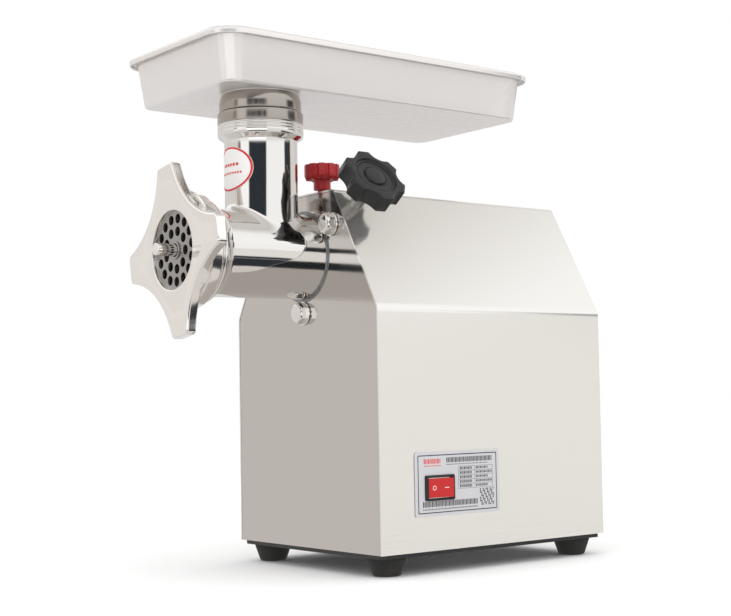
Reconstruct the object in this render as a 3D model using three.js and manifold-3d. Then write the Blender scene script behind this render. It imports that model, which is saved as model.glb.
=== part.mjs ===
// An electric meat grinder for a 70 mm plate. Millimetres, +Z up, the barrel points to -Y.
//
// Inside the model the barrel axis runs along Y, y = 0 is the casing's front edge and z = 0 is the floor.
// The last lines move the finished group so that its origin is the middle of its footprint on the floor.

import * as THREE from "three";
import { mergeVertices } from "three/addons/utils/BufferGeometryUtils.js";
import Module from "manifold-3d";

const wasm = await Module();
wasm.setup();

// ---------------------------------------------------------------- driving dimensions

const gap = 0.3; // air between two separate pieces that touch on the real machine
const running = 0.4; // radial air around a piece that turns or slides

// Casing: house-shaped, one folded sheet between a front and a rear plate.
const bodyWidth = 210;
const bodyLength = 256;
const shoulderHeight = 201; // above the sheet's lower edge
const ridgeClearance = 4; // from the gearbox's seat up to the ridge
const ridgeWidth = 94;
const sheet = 1.5;
const plateThickness = 2;
const plateRecess = 0.4;
const foldRadius = 4;
const basePlate = 3.2;
const basePlateInset = 2;

// Rubber feet under the base plate.
const footHeight = 15;
const footTopRadius = 16.5;
const footTipRadius = 12;
const footInset = 21; // from the casing's sides to the foot's centre
const footScrewRadius = 2;

// Cast head. Heights above the barrel axis, and y along it.
const axisHeight = 250; // above the sheet's lower edge
const barrelBore = 31;
const barrelWall = 6;
const barrelRadius = barrelBore + barrelWall;
const barrelFront = -123;
const neckLength = 27; // behind the casing's front edge
const plateLedge = 4; // how far the plate's recess is cut into the wall
const threadWall = 6;
const plateRadius = barrelBore + plateLedge;
const threadRadius = plateRadius + threadWall;
const throatOffset = -41.5; // y of the throat's axis
const throatRadius = 31;
const throatBore = 27;
const collarRadius = 36.5;
const collarBottom = 100.5;
const collarTop = 120;

// Cutting set and ring nut.
const plateWidth = 9;
const plateRim = 5.2; // outside the outer circle of holes
const holeRadius = 4;
const outerHoles = 15;
const outerHoleCircle = plateRadius - plateRim - holeRadius;
const holeRowPitch = 10.3;
const innerHoles = 9;
const innerHoleCircle = outerHoleCircle - holeRowPitch;
const knifeWidth = 9.3;
const knifeRadius = barrelBore - 2;
const knifeSquare = 12;
const augerRadius = barrelBore - 1.2;
const augerCore = 12;
const augerPitch = 46;
const tangSquare = 14;
const tangLength = 14;
const studRadius = 5;
const studReach = 15; // in front of the ring nut's face
const ringLip = 3.7;
const ringDepth = 21;
const ringLipReach = 2.5; // how far the lip covers the plate's edge
const ringMouth = plateRadius - ringLipReach;
const ringSkirtWall = 7;
const ringSkirt = threadRadius + ringSkirtWall;
const starReach = 72;
const starThickness = 9;
const starLobeWidth = 24;
const starWaist = 46.5;
const starTurn = THREE.MathUtils.degToRad(9);

// Meat tray, off centre on the throat.
const trayLength = 348;
const trayWidth = 173;
const trayDepth = 43;
const trayFront = -112; // y of the rim's front edge
const trayRight = 53; // x of the rim's right edge
const traySheet = 1.5;
const trayRimWidth = 7;
const trayRimHeight = 6;
const trayWallLean = 5;
const trayBend = 3;
const trayCorner = 26;
const trayNeckHeight = 16; // between the collar and the tray's floor
const trayNeckRadius = 35;
const traySpigot = 18; // how far the neck reaches down the throat

// Gear train, from the output wheel down to the rotor's pinion.
const pinionTeeth = 14;
const outputTeeth = 40;
const layTeeth = 42;
const outputModule = 2;
const layModule = 1.75;
const backlash = 0.3;
const outputFace = 18;
const layFace = 9;

// Gearbox.
const spigotWall = 2.2;
const chamberFront = 30;
const chamberWall = 5;
const chamberLength = 64;
const chamberRadius = 50;
const chamberDrop = 80; // from the output axis to the centre of the chamber's round bottom
const coverThickness = 10;
const bearingWidth = 12;
const outputJournal = 15;
const sealWidth = 5;
const sealRadius = 24;
const bearingSpace = 0.6; // along Y, beside each bearing
const augerJournal = 15;
const outputBearingRadius = 27.5;
const layJournal = 6;
const layBearingRadius = 13;
const layBearingWidth = 8;

// Motor.
const motorRadius = 62;
const motorWall = 3;
const motorLength = 112;
const statorLength = 60;
const rotorRadius = 33.4;
const rotorAir = 0.6;
const rotorJournal = 8;
const rotorBearingRadius = 17.5;
const rotorBearingWidth = 8;
const fanRadius = 48;
const fanWidth = 12;
const endCapThickness = 14;

// Flange bolts on the front plate.
const boltMargin = 12; // from the neck's outside to a bolt's axis
const boltCircle = barrelRadius + boltMargin;
const boltRadius = 4;
const boltReach = 10;
const boltHeadFlats = 16;
const boltHeadHeight = 7;
const boltWasher = 1.4;
const boltAngles = [30, 150, 270];

// Clamp knob and its bolt, square to nothing but the barrel axis.
const clampPlace = 18; // y of the clamp's axis
const clampAngle = THREE.MathUtils.degToRad(37);
const clampBoltRadius = 6;
const knobStandOff = 36; // from the shoulder panel to the knob's face
const knobThickness = 15.5;
const knobRadius = 28;
const knobLobes = 6;
const knobHubRadius = 12;
const knobHubLength = 5;
const knobBore = 10;

// Oil plug on the ridge.
const plugPlace = 22; // y of the plug's axis
const plugShank = 4;
const plugHubRadius = 7.5;
const plugHeadRadius = 15.5;
const plugNeck = 6;
const plugHub = 8.5;
const plugHead = 14;
const plugDepth = 9;

// Switch and rating label on the right side.
const labelWidth = 93;
const labelHeight = 53;
const labelPlace = 81.5; // y of the label's centre
const labelLift = 55; // from the sheet's lower edge to the label's centre
const labelThickness = 0.5;
const switchPlace = 61.3;
const switchLift = 51.7;
const bezelWidth = 31.5;
const bezelHeight = 21;
const bezelRise = 2.4;
const switchDepth = 20;
const switchWall = 1.2;
const rockerWidth = 24.4;
const rockerHeight = 16;
const rockerTilt = THREE.MathUtils.degToRad(9);

// Rear plate.
const louvreLength = 38;
const louvreWidth = 4;
const louvreRows = 7;
const louvrePitch = 12;
const glandRadius = 9;
const glandBore = 4;

// Levels and planes that follow from the sizes above.
const sheetBottom = footHeight + basePlate + gap;
const axisZ = sheetBottom + axisHeight;
const seatOuter = boltCircle + 1;
const ridgeHeight = axisHeight + seatOuter + ridgeClearance; // above the sheet's lower edge
const ridgeZ = sheetBottom + ridgeHeight;
const plateBack = barrelFront + plateWidth - 2.3;
const plateFront = plateBack - plateWidth;
const ringFace = plateFront - ringLip;
const knifeBack = plateBack + gap + knifeWidth;
const layDrop = outputModule * (pinionTeeth + outputTeeth) / 2;
const rotorDrop = layDrop + layModule * (pinionTeeth + layTeeth) / 2;
const boreRadius = barrelRadius + gap;
const chamberBack = chamberFront + chamberLength;
const coverFront = chamberBack + gap;
const coverBack = coverFront + coverThickness;
const motorFront = coverBack + gap;
const motorBack = motorFront + motorLength;

// Facets round a full turn.
const fine = 28;
const medium = 20;
const small = 12;

// ---------------------------------------------------------------- materials

function metal(color, roughness) {
  return new THREE.MeshStandardMaterial({ color, roughness, metalness: 1 });
}

function plain(color, roughness) {
  return new THREE.MeshStandardMaterial({ color, roughness, metalness: 0 });
}

const satinSteel = metal(0xdedad6, 0.38);
const mirrorSteel = metal(0xc9c8c6, 0.12);
const plateSteel = metal(0xbab5b1, 0.25);
const toolSteel = metal(0xb4b2af, 0.3);
const castIron = metal(0x8c8d8f, 0.6);
const aluminium = metal(0xb6b8ba, 0.5);
const gearSteel = metal(0x9a9a9c, 0.35);
const copper = metal(0xb06a3a, 0.45);
const blackPaint = plain(0x2a2b2d, 0.5);
const greyPaint = plain(0xb9babb, 0.55);
const blackPlastic = plain(0x38383a, 0.55);
const blackRubber = plain(0x232323, 0.8);
const redPlastic = plain(0xb0202a, 0.4);
const rockerRed = plain(0xd81e1e, 0.3);
const whiteNylon = plain(0xe8e6e0, 0.6);
const labelFoil = plain(0xd9d9db, 0.45);
const stickerFilm = plain(0xf0efec, 0.35);

// ---------------------------------------------------------------- geometry helpers

/** A closed three.js geometry as a solid that can be joined and cut. */
function toSolid(geometry) {
  const bare = geometry.clone();
  bare.deleteAttribute("normal");
  bare.deleteAttribute("uv");
  const merged = mergeVertices(bare, 1e-4);
  const corners = merged.index.array;
  const kept = [];
  for (let i = 0; i < corners.length; i += 3) {
    const [a, b, c] = corners.slice(i, i + 3);
    if (a !== b && b !== c && c !== a) kept.push(a, b, c);
  }
  const vertProperties = new Float32Array(merged.attributes.position.array);
  return new wasm.Manifold(new wasm.Mesh({ numProp: 3, vertProperties,
    triVerts: new Uint32Array(kept) }));
}

/** A solid back as a three.js geometry. */
function toGeometry(solid) {
  const { vertProperties, triVerts } = solid.getMesh();
  const geometry = new THREE.BufferGeometry();
  geometry.setAttribute("position", new THREE.BufferAttribute(new Float32Array(vertProperties), 3));
  geometry.setIndex(new THREE.BufferAttribute(new Uint32Array(triVerts), 1));
  geometry.computeVertexNormals();
  return geometry;
}

function join(...pieces) {
  return toGeometry(pieces.map(toSolid).reduce((sum, piece) => sum.add(piece)));
}

function cut(base, ...tools) {
  return toGeometry(tools.map(toSolid).reduce((rest, tool) => rest.subtract(tool), toSolid(base)));
}

function overlap(first, second) {
  return toGeometry(toSolid(first).intersect(toSolid(second)));
}

/** A ring or a bar about Y from [radius, y] pairs that go round the section anticlockwise. */
function revolve(profile, segments) {
  const points = profile.map(([radius, y]) => new THREE.Vector2(radius, y));
  const onAxis = profile[0][0] === 0;
  if (!onAxis) points.push(points[0].clone());
  return new THREE.LatheGeometry(points, segments);
}

/** The same about Z: [radius, z] pairs. */
function revolveUp(profile, segments) {
  return revolve(profile, segments).rotateX(Math.PI / 2);
}

/** A round bar along Y. */
function bar(radius, start, end, segments) {
  return new THREE.CylinderGeometry(radius, radius, end - start, segments).translate(0,
    (start + end) / 2, 0);
}

/** A round bar along Z. */
function post(radius, bottom, top, segments) {
  return bar(radius, bottom, top, segments).rotateX(Math.PI / 2);
}

/** A tube along Y. */
function sleeve(inner, outer, start, end, segments) {
  return revolve([[inner, start], [outer, start], [outer, end], [inner, end]], segments);
}

/** A block between two corners. */
function block(x0, y0, z0, x1, y1, z1) {
  return new THREE.BoxGeometry(x1 - x0, y1 - y0, z1 - z0)
    .translate((x0 + x1) / 2, (y0 + y1) / 2, (z0 + z1) / 2);
}

/** An outline drawn in x and z, as thick as start to end along Y. */
function slab(shape, start, end, curveSegments = 6) {
  const options = { depth: end - start, bevelEnabled: false, curveSegments };
  return new THREE.ExtrudeGeometry(shape, options).rotateX(Math.PI / 2).translate(0, end, 0);
}

/** An outline drawn in x and y, standing from bottom to top along Z. */
function tower(shape, bottom, top, curveSegments = 6) {
  const options = { depth: top - bottom, bevelEnabled: false, curveSegments };
  return new THREE.ExtrudeGeometry(shape, options).translate(0, 0, bottom);
}

/** A closed outline through straight-sided corners. */
function outline(corners) {
  return new THREE.Shape(corners.map(([x, y]) => new THREE.Vector2(x, y)));
}

/** A rectangle with round corners about the origin. */
function roundedRectangle(halfX, halfY, radius) {
  const shape = new THREE.Shape();
  const turn = Math.PI / 2;
  shape.absarc(halfX - radius, halfY - radius, radius, 0, turn);
  shape.absarc(radius - halfX, halfY - radius, radius, turn, 2 * turn);
  shape.absarc(radius - halfX, radius - halfY, radius, 2 * turn, 3 * turn);
  shape.absarc(halfX - radius, radius - halfY, radius, 3 * turn, 4 * turn);
  return shape;
}

/** A skin through a stack of loops with as many points each,
  closed flat over the first and the last. */
function loft(loops) {
  const count = loops[0].length;
  const positions = loops.flat().flatMap((point) => [point.x, point.y, point.z]);
  const index = [];
  for (let k = 0; k + 1 < loops.length; k += 1) {
    for (let i = 0; i < count; i += 1) {
      const a = k * count + i;
      const b = k * count + (i + 1) % count;
      index.push(a, b, b + count, a, b + count, a + count);
    }
  }
  const last = (loops.length - 1) * count;
  for (let i = 1; i + 1 < count; i += 1) {
    index.push(0, i + 1, i, last, last + i, last + i + 1);
  }
  const geometry = new THREE.BufferGeometry();
  geometry.setAttribute("position", new THREE.Float32BufferAttribute(positions, 3));
  geometry.setIndex(index);
  return geometry;
}

/** A level loop with lobes, at height z. A depth of 0 makes it a circle. */
function lobedLoop(radius, depth, lobes, z, count) {
  return Array.from({ length: count }, (_, i) => {
    const angle = 2 * Math.PI * i / count;
    const reach = radius - depth * (0.5 - 0.5 * Math.cos(lobes * angle));
    return new THREE.Vector3(reach * Math.cos(angle), reach * Math.sin(angle), z);
  });
}

/** Turns a direction in x and z through an angle about the barrel axis: a point at a radius. */
function around(radius, degrees) {
  const angle = THREE.MathUtils.degToRad(degrees);
  return [radius * Math.cos(angle), radius * Math.sin(angle)];
}

// ---------------------------------------------------------------- the group and its nodes

const machine = new THREE.Group();
const onAxis = new THREE.Group();
onAxis.position.z = axisZ;
machine.add(onAxis);

function add(parent, name, geometry, material) {
  const mesh = new THREE.Mesh(toGeometry(toSolid(geometry)), material);
  mesh.name = name;
  parent.add(mesh);
  return mesh;
}

// ---------------------------------------------------------------- casing

/** Half of the casing's section, from the lower edge up to the ridge, moved in by an inset. */
function houseCorners(inset) {
  const half = bodyWidth / 2 - inset;
  const lean = Math.atan2((bodyWidth - ridgeWidth) / 2, ridgeHeight - shoulderHeight);
  const shoulder = shoulderHeight - inset * Math.tan(lean / 2);
  const ridge = ridgeWidth / 2 - inset * Math.tan((Math.PI / 2 - lean) / 2);
  return [[half, 0], [half, shoulder], [ridge, ridgeHeight - inset]];
}

/** The whole section with its four folds rounded. */
function houseShape(inset, radius, bottom) {
  const right = houseCorners(inset);
  right[0][1] = bottom;
  const corners = [...right, ...right.map(([x, z]) => [-x, z]).reverse()];
  const shape = new THREE.Shape();
  shape.moveTo(...corners[0]);
  for (let i = 1; i < corners.length - 1; i += 1) {
    const corner = new THREE.Vector2(...corners[i]);
    const before = new THREE.Vector2(...corners[i - 1]).sub(corner).setLength(radius).add(corner);
    const after = new THREE.Vector2(...corners[i + 1]).sub(corner).setLength(radius).add(corner);
    shape.lineTo(before.x, before.y);
    shape.quadraticCurveTo(corner.x, corner.y, after.x, after.y);
  }
  shape.lineTo(...corners.at(-1));
  return shape;
}

/** How far out along the clamp's axis the shoulder panel's outside lies, from the barrel axis. */
function clampToPanel() {
  const [, low, high] = houseCorners(0);
  const panel = new THREE.Vector2(high[0] - low[0], high[1] - low[1]);
  const start = new THREE.Vector2(low[0], low[1] - axisHeight);
  const axis = new THREE.Vector2(Math.cos(clampAngle), Math.sin(clampAngle));
  return start.cross(panel) / axis.cross(panel);
}

const panelDistance = clampToPanel();

/** A bar along the clamp's axis, in the barrel's frame. */
function clampBar(radius, start, end, segments) {
  return bar(radius, start, end, segments)
    .rotateZ(clampAngle - Math.PI / 2)
    .rotateX(Math.PI / 2)
    .translate(0, clampPlace, 0);
}

/** The folded sheet that makes both sides, both shoulders and the ridge. */
function bodyShell() {
  const fold = foldRadius;
  const outside = slab(houseShape(0, fold, 0), 0, bodyLength, 3);
  const inside = slab(houseShape(sheet, fold - sheet / 2, -1), -1, bodyLength + 1, 3);
  const clampHole = clampBar(clampBoltRadius + 2, panelDistance - 12, panelDistance + 12, small)
    .translate(0, 0, axisHeight);
  const plugHole = post(plugShank + 1, ridgeHeight - 10, ridgeHeight + 10, small).translate(0,
    plugPlace, 0);
  const bodyHalfY = bezelWidth / 2 - switchWall + gap;
  const bodyHalfZ = bezelHeight / 2 - switchWall + gap;
  const switchHole = block(
    bodyWidth / 2 - 10, switchPlace - bodyHalfY, switchLift - bodyHalfZ,
    bodyWidth / 2 + 10, switchPlace + bodyHalfY, switchLift + bodyHalfZ);
  return cut(outside, inside, clampHole, plugHole, switchHole).translate(0, 0, sheetBottom);
}

/** The plate that closes the front, bored for the gearbox spigot and its bolts. */
function frontPlate() {
  const plate = slab(houseShape(sheet + gap, foldRadius - sheet, 0), plateRecess,
    plateRecess + plateThickness, 3);
  const ends = [plateRecess - 1, plateRecess + plateThickness + 1];
  const bore = bar(boreRadius + spigotWall + gap, ...ends, fine).translate(0, 0, axisHeight);
  const boltHoles = boltAngles.map((degrees) => {
    const [x, z] = around(boltCircle, degrees);
    return bar(boltRadius + gap, ...ends, small).translate(x, 0, axisHeight + z);
  });
  return cut(plate, bore, ...boltHoles).translate(0, 0, sheetBottom);
}

const rearFace = bodyLength - plateRecess;
const rearScrews = [[-1, 30], [1, 30], [-1, 180],
  [1, 180]].map(([side, z]) => [side * (bodyWidth / 2 - 14), z]);
const gland = [-58, 48];

/** The rear plate with its louvres, the gland's hole and four screw holes. */
function rearPlate() {
  const start = rearFace - plateThickness;
  const plate = slab(houseShape(sheet + gap, foldRadius - sheet, 0), start, rearFace, 3);
  const slots = [];
  for (let row = 0; row < louvreRows; row += 1) {
    for (const side of [-1, 1]) {
      const z = axisHeight - rotorDrop + (row - (louvreRows - 1) / 2) * louvrePitch;
      const x = side * (louvreLength / 2 + 5);
      slots.push(block(
        x - louvreLength / 2, start - 1, z - louvreWidth / 2,
        x + louvreLength / 2, rearFace + 1, z + louvreWidth / 2));
    }
  }
  const screwHoles = rearScrews.map(([x, z]) => bar(footScrewRadius + gap, start - 1, rearFace + 1, 8)
    .translate(x, 0, z));
  const glandHole = bar(glandRadius - 2 + gap, start - 1, rearFace + 1, small).translate(gland[0], 0,
    gland[1]);
  return cut(plate, ...slots, ...screwHoles, glandHole).translate(0, 0, sheetBottom);
}

/** A pan-head screw along Y with its head's flat at y = 0 and the shank to -Y. */
function plateScrew() {
  return join(
    revolve([[0, 0], [4, 0], [3.4, 2], [0, 2.4]], 12),
    bar(footScrewRadius, -8, 0.5, 8));
}

/** A hexagonal cable gland through the rear plate, with its bore open. */
function cableGland() {
  const hex = new THREE.CylinderGeometry(glandRadius, glandRadius, 5, 6).translate(0, 2.5, 0);
  const dome = revolve([[0, 4], [7.5, 4], [7.5, 9], [6, 12], [0, 12]], small);
  const tail = bar(glandRadius - 2, -plateThickness - 6, 1, small);
  return cut(join(hex, dome, tail), bar(glandBore, -20, 20, 12));
}

add(machine, "body_shell", bodyShell(), satinSteel);
add(machine, "front_plate", frontPlate(), plateSteel);
add(machine, "rear_plate", rearPlate(), satinSteel);
rearScrews.forEach(([x, z], i) => {
  add(machine, `rear_screw_${i + 1}`, plateScrew(), toolSteel).position.set(x, rearFace + gap,
    sheetBottom + z);
});
add(machine, "cable_gland", cableGland(), blackPlastic)
  .position.set(gland[0], rearFace + gap, sheetBottom + gland[1]);

// ---------------------------------------------------------------- base and feet

const footX = bodyWidth / 2 - footInset;
const footPlaces = [[footX, footInset], [-footX, footInset], [footX, bodyLength - footInset],
  [-footX, bodyLength - footInset]];

function basePlateSolid() {
  const halfX = bodyWidth / 2 - basePlateInset;
  const halfY = bodyLength / 2 - basePlateInset;
  const top = footHeight + basePlate;
  const plate = tower(roundedRectangle(halfX, halfY, 6), footHeight, top, 4).translate(0,
    bodyLength / 2, 0);
  const holes = footPlaces.map(([x, y]) => post(footScrewRadius + gap, 0, top + 1, 8).translate(x, y,
    0));
  return cut(plate, ...holes);
}

/** A shallow pan that covers the motor's opening from below. */
function bottomCover() {
  const pan = 6;
  const top = footHeight - gap;
  const shape = roundedRectangle(58, 62, 10);
  return tower(shape, top - pan, top, 3).translate(0, bodyLength / 2 + 22, 0);
}

/** A tapered rubber foot with a recess for its screw. */
function foot() {
  const top = footHeight - gap;
  const body = revolveUp([[0, 0], [footTipRadius - 1, 0], [footTipRadius, 1.2], [footTopRadius, top],
    [0, top]],
    medium);
  return cut(body, post(5.5, -1, 6, small), post(footScrewRadius + gap, 0, top + 1, 8));
}

/** The screw that holds a foot, head down in the recess. */
function footScrew() {
  const head = 6 - gap;
  return join(
    revolveUp([[0, head - 2.4], [3.4, head - 2.2], [4.2, head], [0, head]], 12),
    post(footScrewRadius, head - 0.5, footHeight + basePlate + 5, 8));
}

add(machine, "base_plate", basePlateSolid(), blackPaint);
add(machine, "bottom_cover", bottomCover(), greyPaint);
footPlaces.forEach(([x, y], i) => {
  add(machine, `foot_${i + 1}`, foot(), blackRubber).position.set(x, y, 0);
  add(machine, `foot_screw_${i + 1}`, footScrew(), toolSteel).position.set(x, y, 0);
});

// ---------------------------------------------------------------- rating label and switch

const sideX = bodyWidth / 2;
const bezelShape = roundedRectangle(bezelWidth / 2, bezelHeight / 2, 1.5);

/** Stands an outline drawn in y and z on the right side, from one x to another. */
function sidePad(shape, start, end) {
  const basis = new THREE.Matrix4().makeBasis(
    new THREE.Vector3(0, 1, 0), new THREE.Vector3(0, 0, 1), new THREE.Vector3(1, 0, 0));
  return tower(shape, start, end, 3).applyMatrix4(basis);
}

function ratingLabel() {
  const foil = sidePad(roundedRectangle(labelWidth / 2, labelHeight / 2, 2), 0, labelThickness);
  const window = sidePad(roundedRectangle(bezelWidth / 2 + gap, bezelHeight / 2 + gap, 1.5), -1, 2)
    .translate(0, switchPlace - labelPlace, switchLift - labelLift);
  return cut(foil, window).translate(sideX + gap, labelPlace, sheetBottom + labelLift);
}

/** The switch's frame and its box behind the panel, one moulding, open at the front. */
function switchBezel() {
  const boxShape = roundedRectangle(bezelWidth / 2 - switchWall, bezelHeight / 2 - switchWall, 1);
  const room = roundedRectangle(rockerWidth / 2 + 0.7, rockerHeight / 2 + 0.5, 0.5);
  return cut(
    join(sidePad(bezelShape, gap, bezelRise), sidePad(boxShape, -switchDepth, gap + 0.5)),
    sidePad(room, -switchDepth + switchWall, bezelRise + 1));
}

/** The rocker: a shallow valley outside, a round belly inside, pivoting about Z at x = 0. */
function switchRocker() {
  const half = rockerWidth / 2;
  const profile = new THREE.Shape();
  profile.moveTo(1.2, 0);
  profile.lineTo(3.2, half);
  profile.lineTo(-2.5, half);
  profile.quadraticCurveTo(-13, 0, -2.5, -half);
  profile.lineTo(3.2, -half);
  return tower(profile, -rockerHeight / 2, rockerHeight / 2, 5).rotateZ(-rockerTilt);
}

add(machine, "rating_label", ratingLabel(), labelFoil);
add(machine, "switch_bezel", switchBezel(), blackPlastic).position.set(sideX, switchPlace,
  sheetBottom + switchLift);
add(machine, "switch_rocker", switchRocker(), rockerRed)
  .position.set(sideX + 0.5, switchPlace, sheetBottom + switchLift);

// ---------------------------------------------------------------- cast head

const ringBack = ringFace + ringDepth;
const collarFace = ringBack + gap;

/** The three rounded beads round the throat's collar. */
function collarProfile() {
  const groove = 0.8;
  const grooves = [collarTop - 10.5, collarTop - 13, collarTop - 15.5];
  const steps = grooves.flatMap((z) => [
    [collarRadius, z - 0.8], [collarRadius - groove, z], [collarRadius, z + 0.8]]);
  steps.sort((a, b) => a[1] - b[1]);
  return [[0, collarBottom - 4], [throatRadius, collarBottom - 4], [collarRadius - 1, collarBottom],
    [collarRadius, collarBottom + 1], ...steps, [collarRadius, collarTop - 1],
      [collarRadius - 1, collarTop],
    [0, collarTop]];
}

/** Barrel, throat and collar, bored for the auger, the meat and the plate. */
function headCasting() {
  const flange = threadRadius + 2.5;
  const barrel = revolve([
    [0, barrelFront], [threadRadius - 1, barrelFront], [threadRadius, barrelFront + 1],
    [threadRadius, collarFace], [flange, collarFace], [flange, collarFace + 2],
      [flange - 1.5, collarFace + 3],
    [flange, collarFace + 4], [flange, collarFace + 6], [barrelRadius + 1.5, collarFace + 11],
    [barrelRadius, collarFace + 15], [barrelRadius, neckLength - 1], [barrelRadius - 1, neckLength],
    [0, neckLength]], fine);
  const throat = post(throatRadius, 0, collarBottom, fine);
  const root = revolveUp([[0, 20], [throatRadius + 8, 20], [throatRadius + 3, barrelRadius],
    [throatRadius + 0.8,
    barrelRadius + 5], [throatRadius - 1, barrelRadius + 8], [0, barrelRadius + 8]], fine);
  const upright = join(throat, revolveUp(collarProfile(), fine), root).translate(0, throatOffset, 0);
  const meatBore = post(throatBore, 0, collarTop + 1, fine).translate(0, throatOffset, 0);
  const key = plateKeySize;
  return cut(
    join(barrel, upright),
    bar(barrelBore, barrelFront - 1, -gap / 2, fine),
    bar(plateRadius + gap, barrelFront - 1, plateBack + gap, fine),
    bar(augerJournal + running, -1, neckLength + 1, medium),
    meatBore,
    block(-key.width / 2 - gap, barrelFront - 1, key.bottom - gap, key.width / 2 + gap, plateBack - gap,
      -plateRadius + 2));
}

// The key that stops the plate from turning, let into the barrel's mouth.
const plateKeySize = { width: 4, bottom: -plateRadius - 2.5, top: -plateRadius + 2.2 };

function plateKey() {
  const { width, bottom, top } = plateKeySize;
  return block(-width / 2, barrelFront + gap, bottom, width / 2, plateBack - 2 * gap, top);
}

/** A printed oval wrapped round the front of the throat. */
function throatSticker() {
  const skin = 0.4;
  const height = collarBottom - barrelRadius - 26;
  const wrap = cut(
    post(throatRadius + gap + skin, 40, collarBottom, fine),
    post(throatRadius + gap, 39, collarBottom + 1, fine));
  const oval = new THREE.Shape().absellipse(0, (collarBottom + barrelRadius) / 2 + 2, 23, height / 2, 0,
    2 * Math.PI);
  return overlap(wrap, slab(oval, -throatRadius - 5, -5, 12)).translate(0, throatOffset, 0);
}

add(onAxis, "head_casting", headCasting(), mirrorSteel);
add(onAxis, "plate_key", plateKey(), gearSteel);
add(onAxis, "throat_sticker", throatSticker(), stickerFilm);

// ---------------------------------------------------------------- ring nut, plate and knife

/** Four broad lobes with hollow flanks between them. */
function starShape() {
  const half = starLobeWidth / 2;
  const round = 4;
  // The hollow is an arc that passes the lobes' corners and the waist halfway between them.
  const waist = starWaist;
  const reach = starReach;
  const away = (reach ** 2 + half ** 2 - waist ** 2) / (Math.SQRT2 * (reach + half) - 2 * waist);
  const hollow = away - waist;
  const shape = new THREE.Shape();
  for (let lobe = 0; lobe < 4; lobe += 1) {
    const turn = starTurn + lobe * Math.PI / 2;
    const at = (u, v) => [
      u * Math.cos(turn) - v * Math.sin(turn),
      u * Math.sin(turn) + v * Math.cos(turn)];
    if (lobe === 0) shape.moveTo(...at(reach - round, -half));
    shape.quadraticCurveTo(...at(reach, -half), ...at(reach, round - half));
    shape.lineTo(...at(reach, half - round));
    shape.quadraticCurveTo(...at(reach, half), ...at(reach - round, half));
    const centre = at(away / Math.SQRT2, away / Math.SQRT2);
    const from = at(reach, half);
    const to = at(half, reach);
    const start = Math.atan2(from[1] - centre[1], from[0] - centre[0]);
    const end = Math.atan2(to[1] - centre[1], to[0] - centre[0]);
    const trim = round / hollow;
    shape.absarc(...centre, hollow, start - trim, end + trim, true);
  }
  return shape;
}

function ringNut() {
  const bevel = 1.5;
  const options = {
    depth: starThickness - 2 * bevel, bevelEnabled: true, bevelThickness: bevel, bevelSize: bevel,
    bevelOffset: -bevel, bevelSegments: 1, curveSegments: 3 };
  const star = new THREE.ExtrudeGeometry(starShape(), options)
    .rotateX(Math.PI / 2)
    .translate(0, ringFace + starThickness - bevel, 0);
  const skirt = revolve([
    [0, ringFace + 2], [ringSkirt, ringFace + 2], [ringSkirt, ringBack - 3], [ringSkirt - 3, ringBack],
    [0, ringBack]], fine);
  const thread = bar(threadRadius + running, plateFront - gap, ringBack + 1, fine);
  return cut(join(star, skirt), thread, bar(ringMouth, ringFace - 1, plateFront, fine));
}

function circlePoints(radius, count) {
  return Array.from({ length: count }, (_, i) => {
    const angle = 2 * Math.PI * i / count;
    return new THREE.Vector2(radius * Math.cos(angle), radius * Math.sin(angle));
  });
}

function perforatedPlate() {
  const shape = new THREE.Shape(circlePoints(plateRadius, fine));
  const drill = (circle, count, first) => {
    for (let i = 0; i < count; i += 1) {
      const [x, z] = around(circle, first + 360 * i / count);
      shape.holes.push(new THREE.Path().absarc(x, z, holeRadius, 0, 2 * Math.PI, true));
    }
  };
  drill(outerHoleCircle, outerHoles, 9);
  drill(innerHoleCircle, innerHoles, -3);
  const disc = slab(shape, plateFront, plateBack, 4);
  const boss = bar(studRadius + 2.4, plateFront - 1.2, plateFront + 1, small);
  const bore = bar(studRadius + running, plateFront - 3, plateBack + 1, small);
  const { width, top } = plateKeySize;
  const notch = block(-width / 2 - gap, plateFront - 1, -plateRadius - 1, width / 2 + gap,
    plateBack + 1, top + gap);
  return cut(join(disc, boss), bore, notch);
}

/** Four straight blades round a square hole, cutting edges against the plate. */
function knife() {
  const start = plateBack + gap;
  const half = 5;
  const hub = bar(13, start + 1.5, start + knifeWidth, small);
  const arm = slab(outline([[0, -half], [knifeRadius, -half], [knifeRadius, half - 2], [0, half]]),
    start,
    start + knifeWidth - 1.5);
  const arms = [0, 1, 2, 3].map((i) => arm.clone().rotateY(i * Math.PI / 2));
  const side = knifeSquare / 2;
  return cut(join(hub, ...arms), block(-side, start - 1, -side, side, start + knifeWidth + 1, side));
}

add(onAxis, "ring_nut", ringNut(), mirrorSteel);
add(onAxis, "perforated_plate", perforatedPlate(), plateSteel);
add(onAxis, "knife", knife(), toolSteel);

// ---------------------------------------------------------------- auger

const washer = 2;
const augerBack = -2 * gap - washer;
const augerFront = knifeBack + gap;

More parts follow.
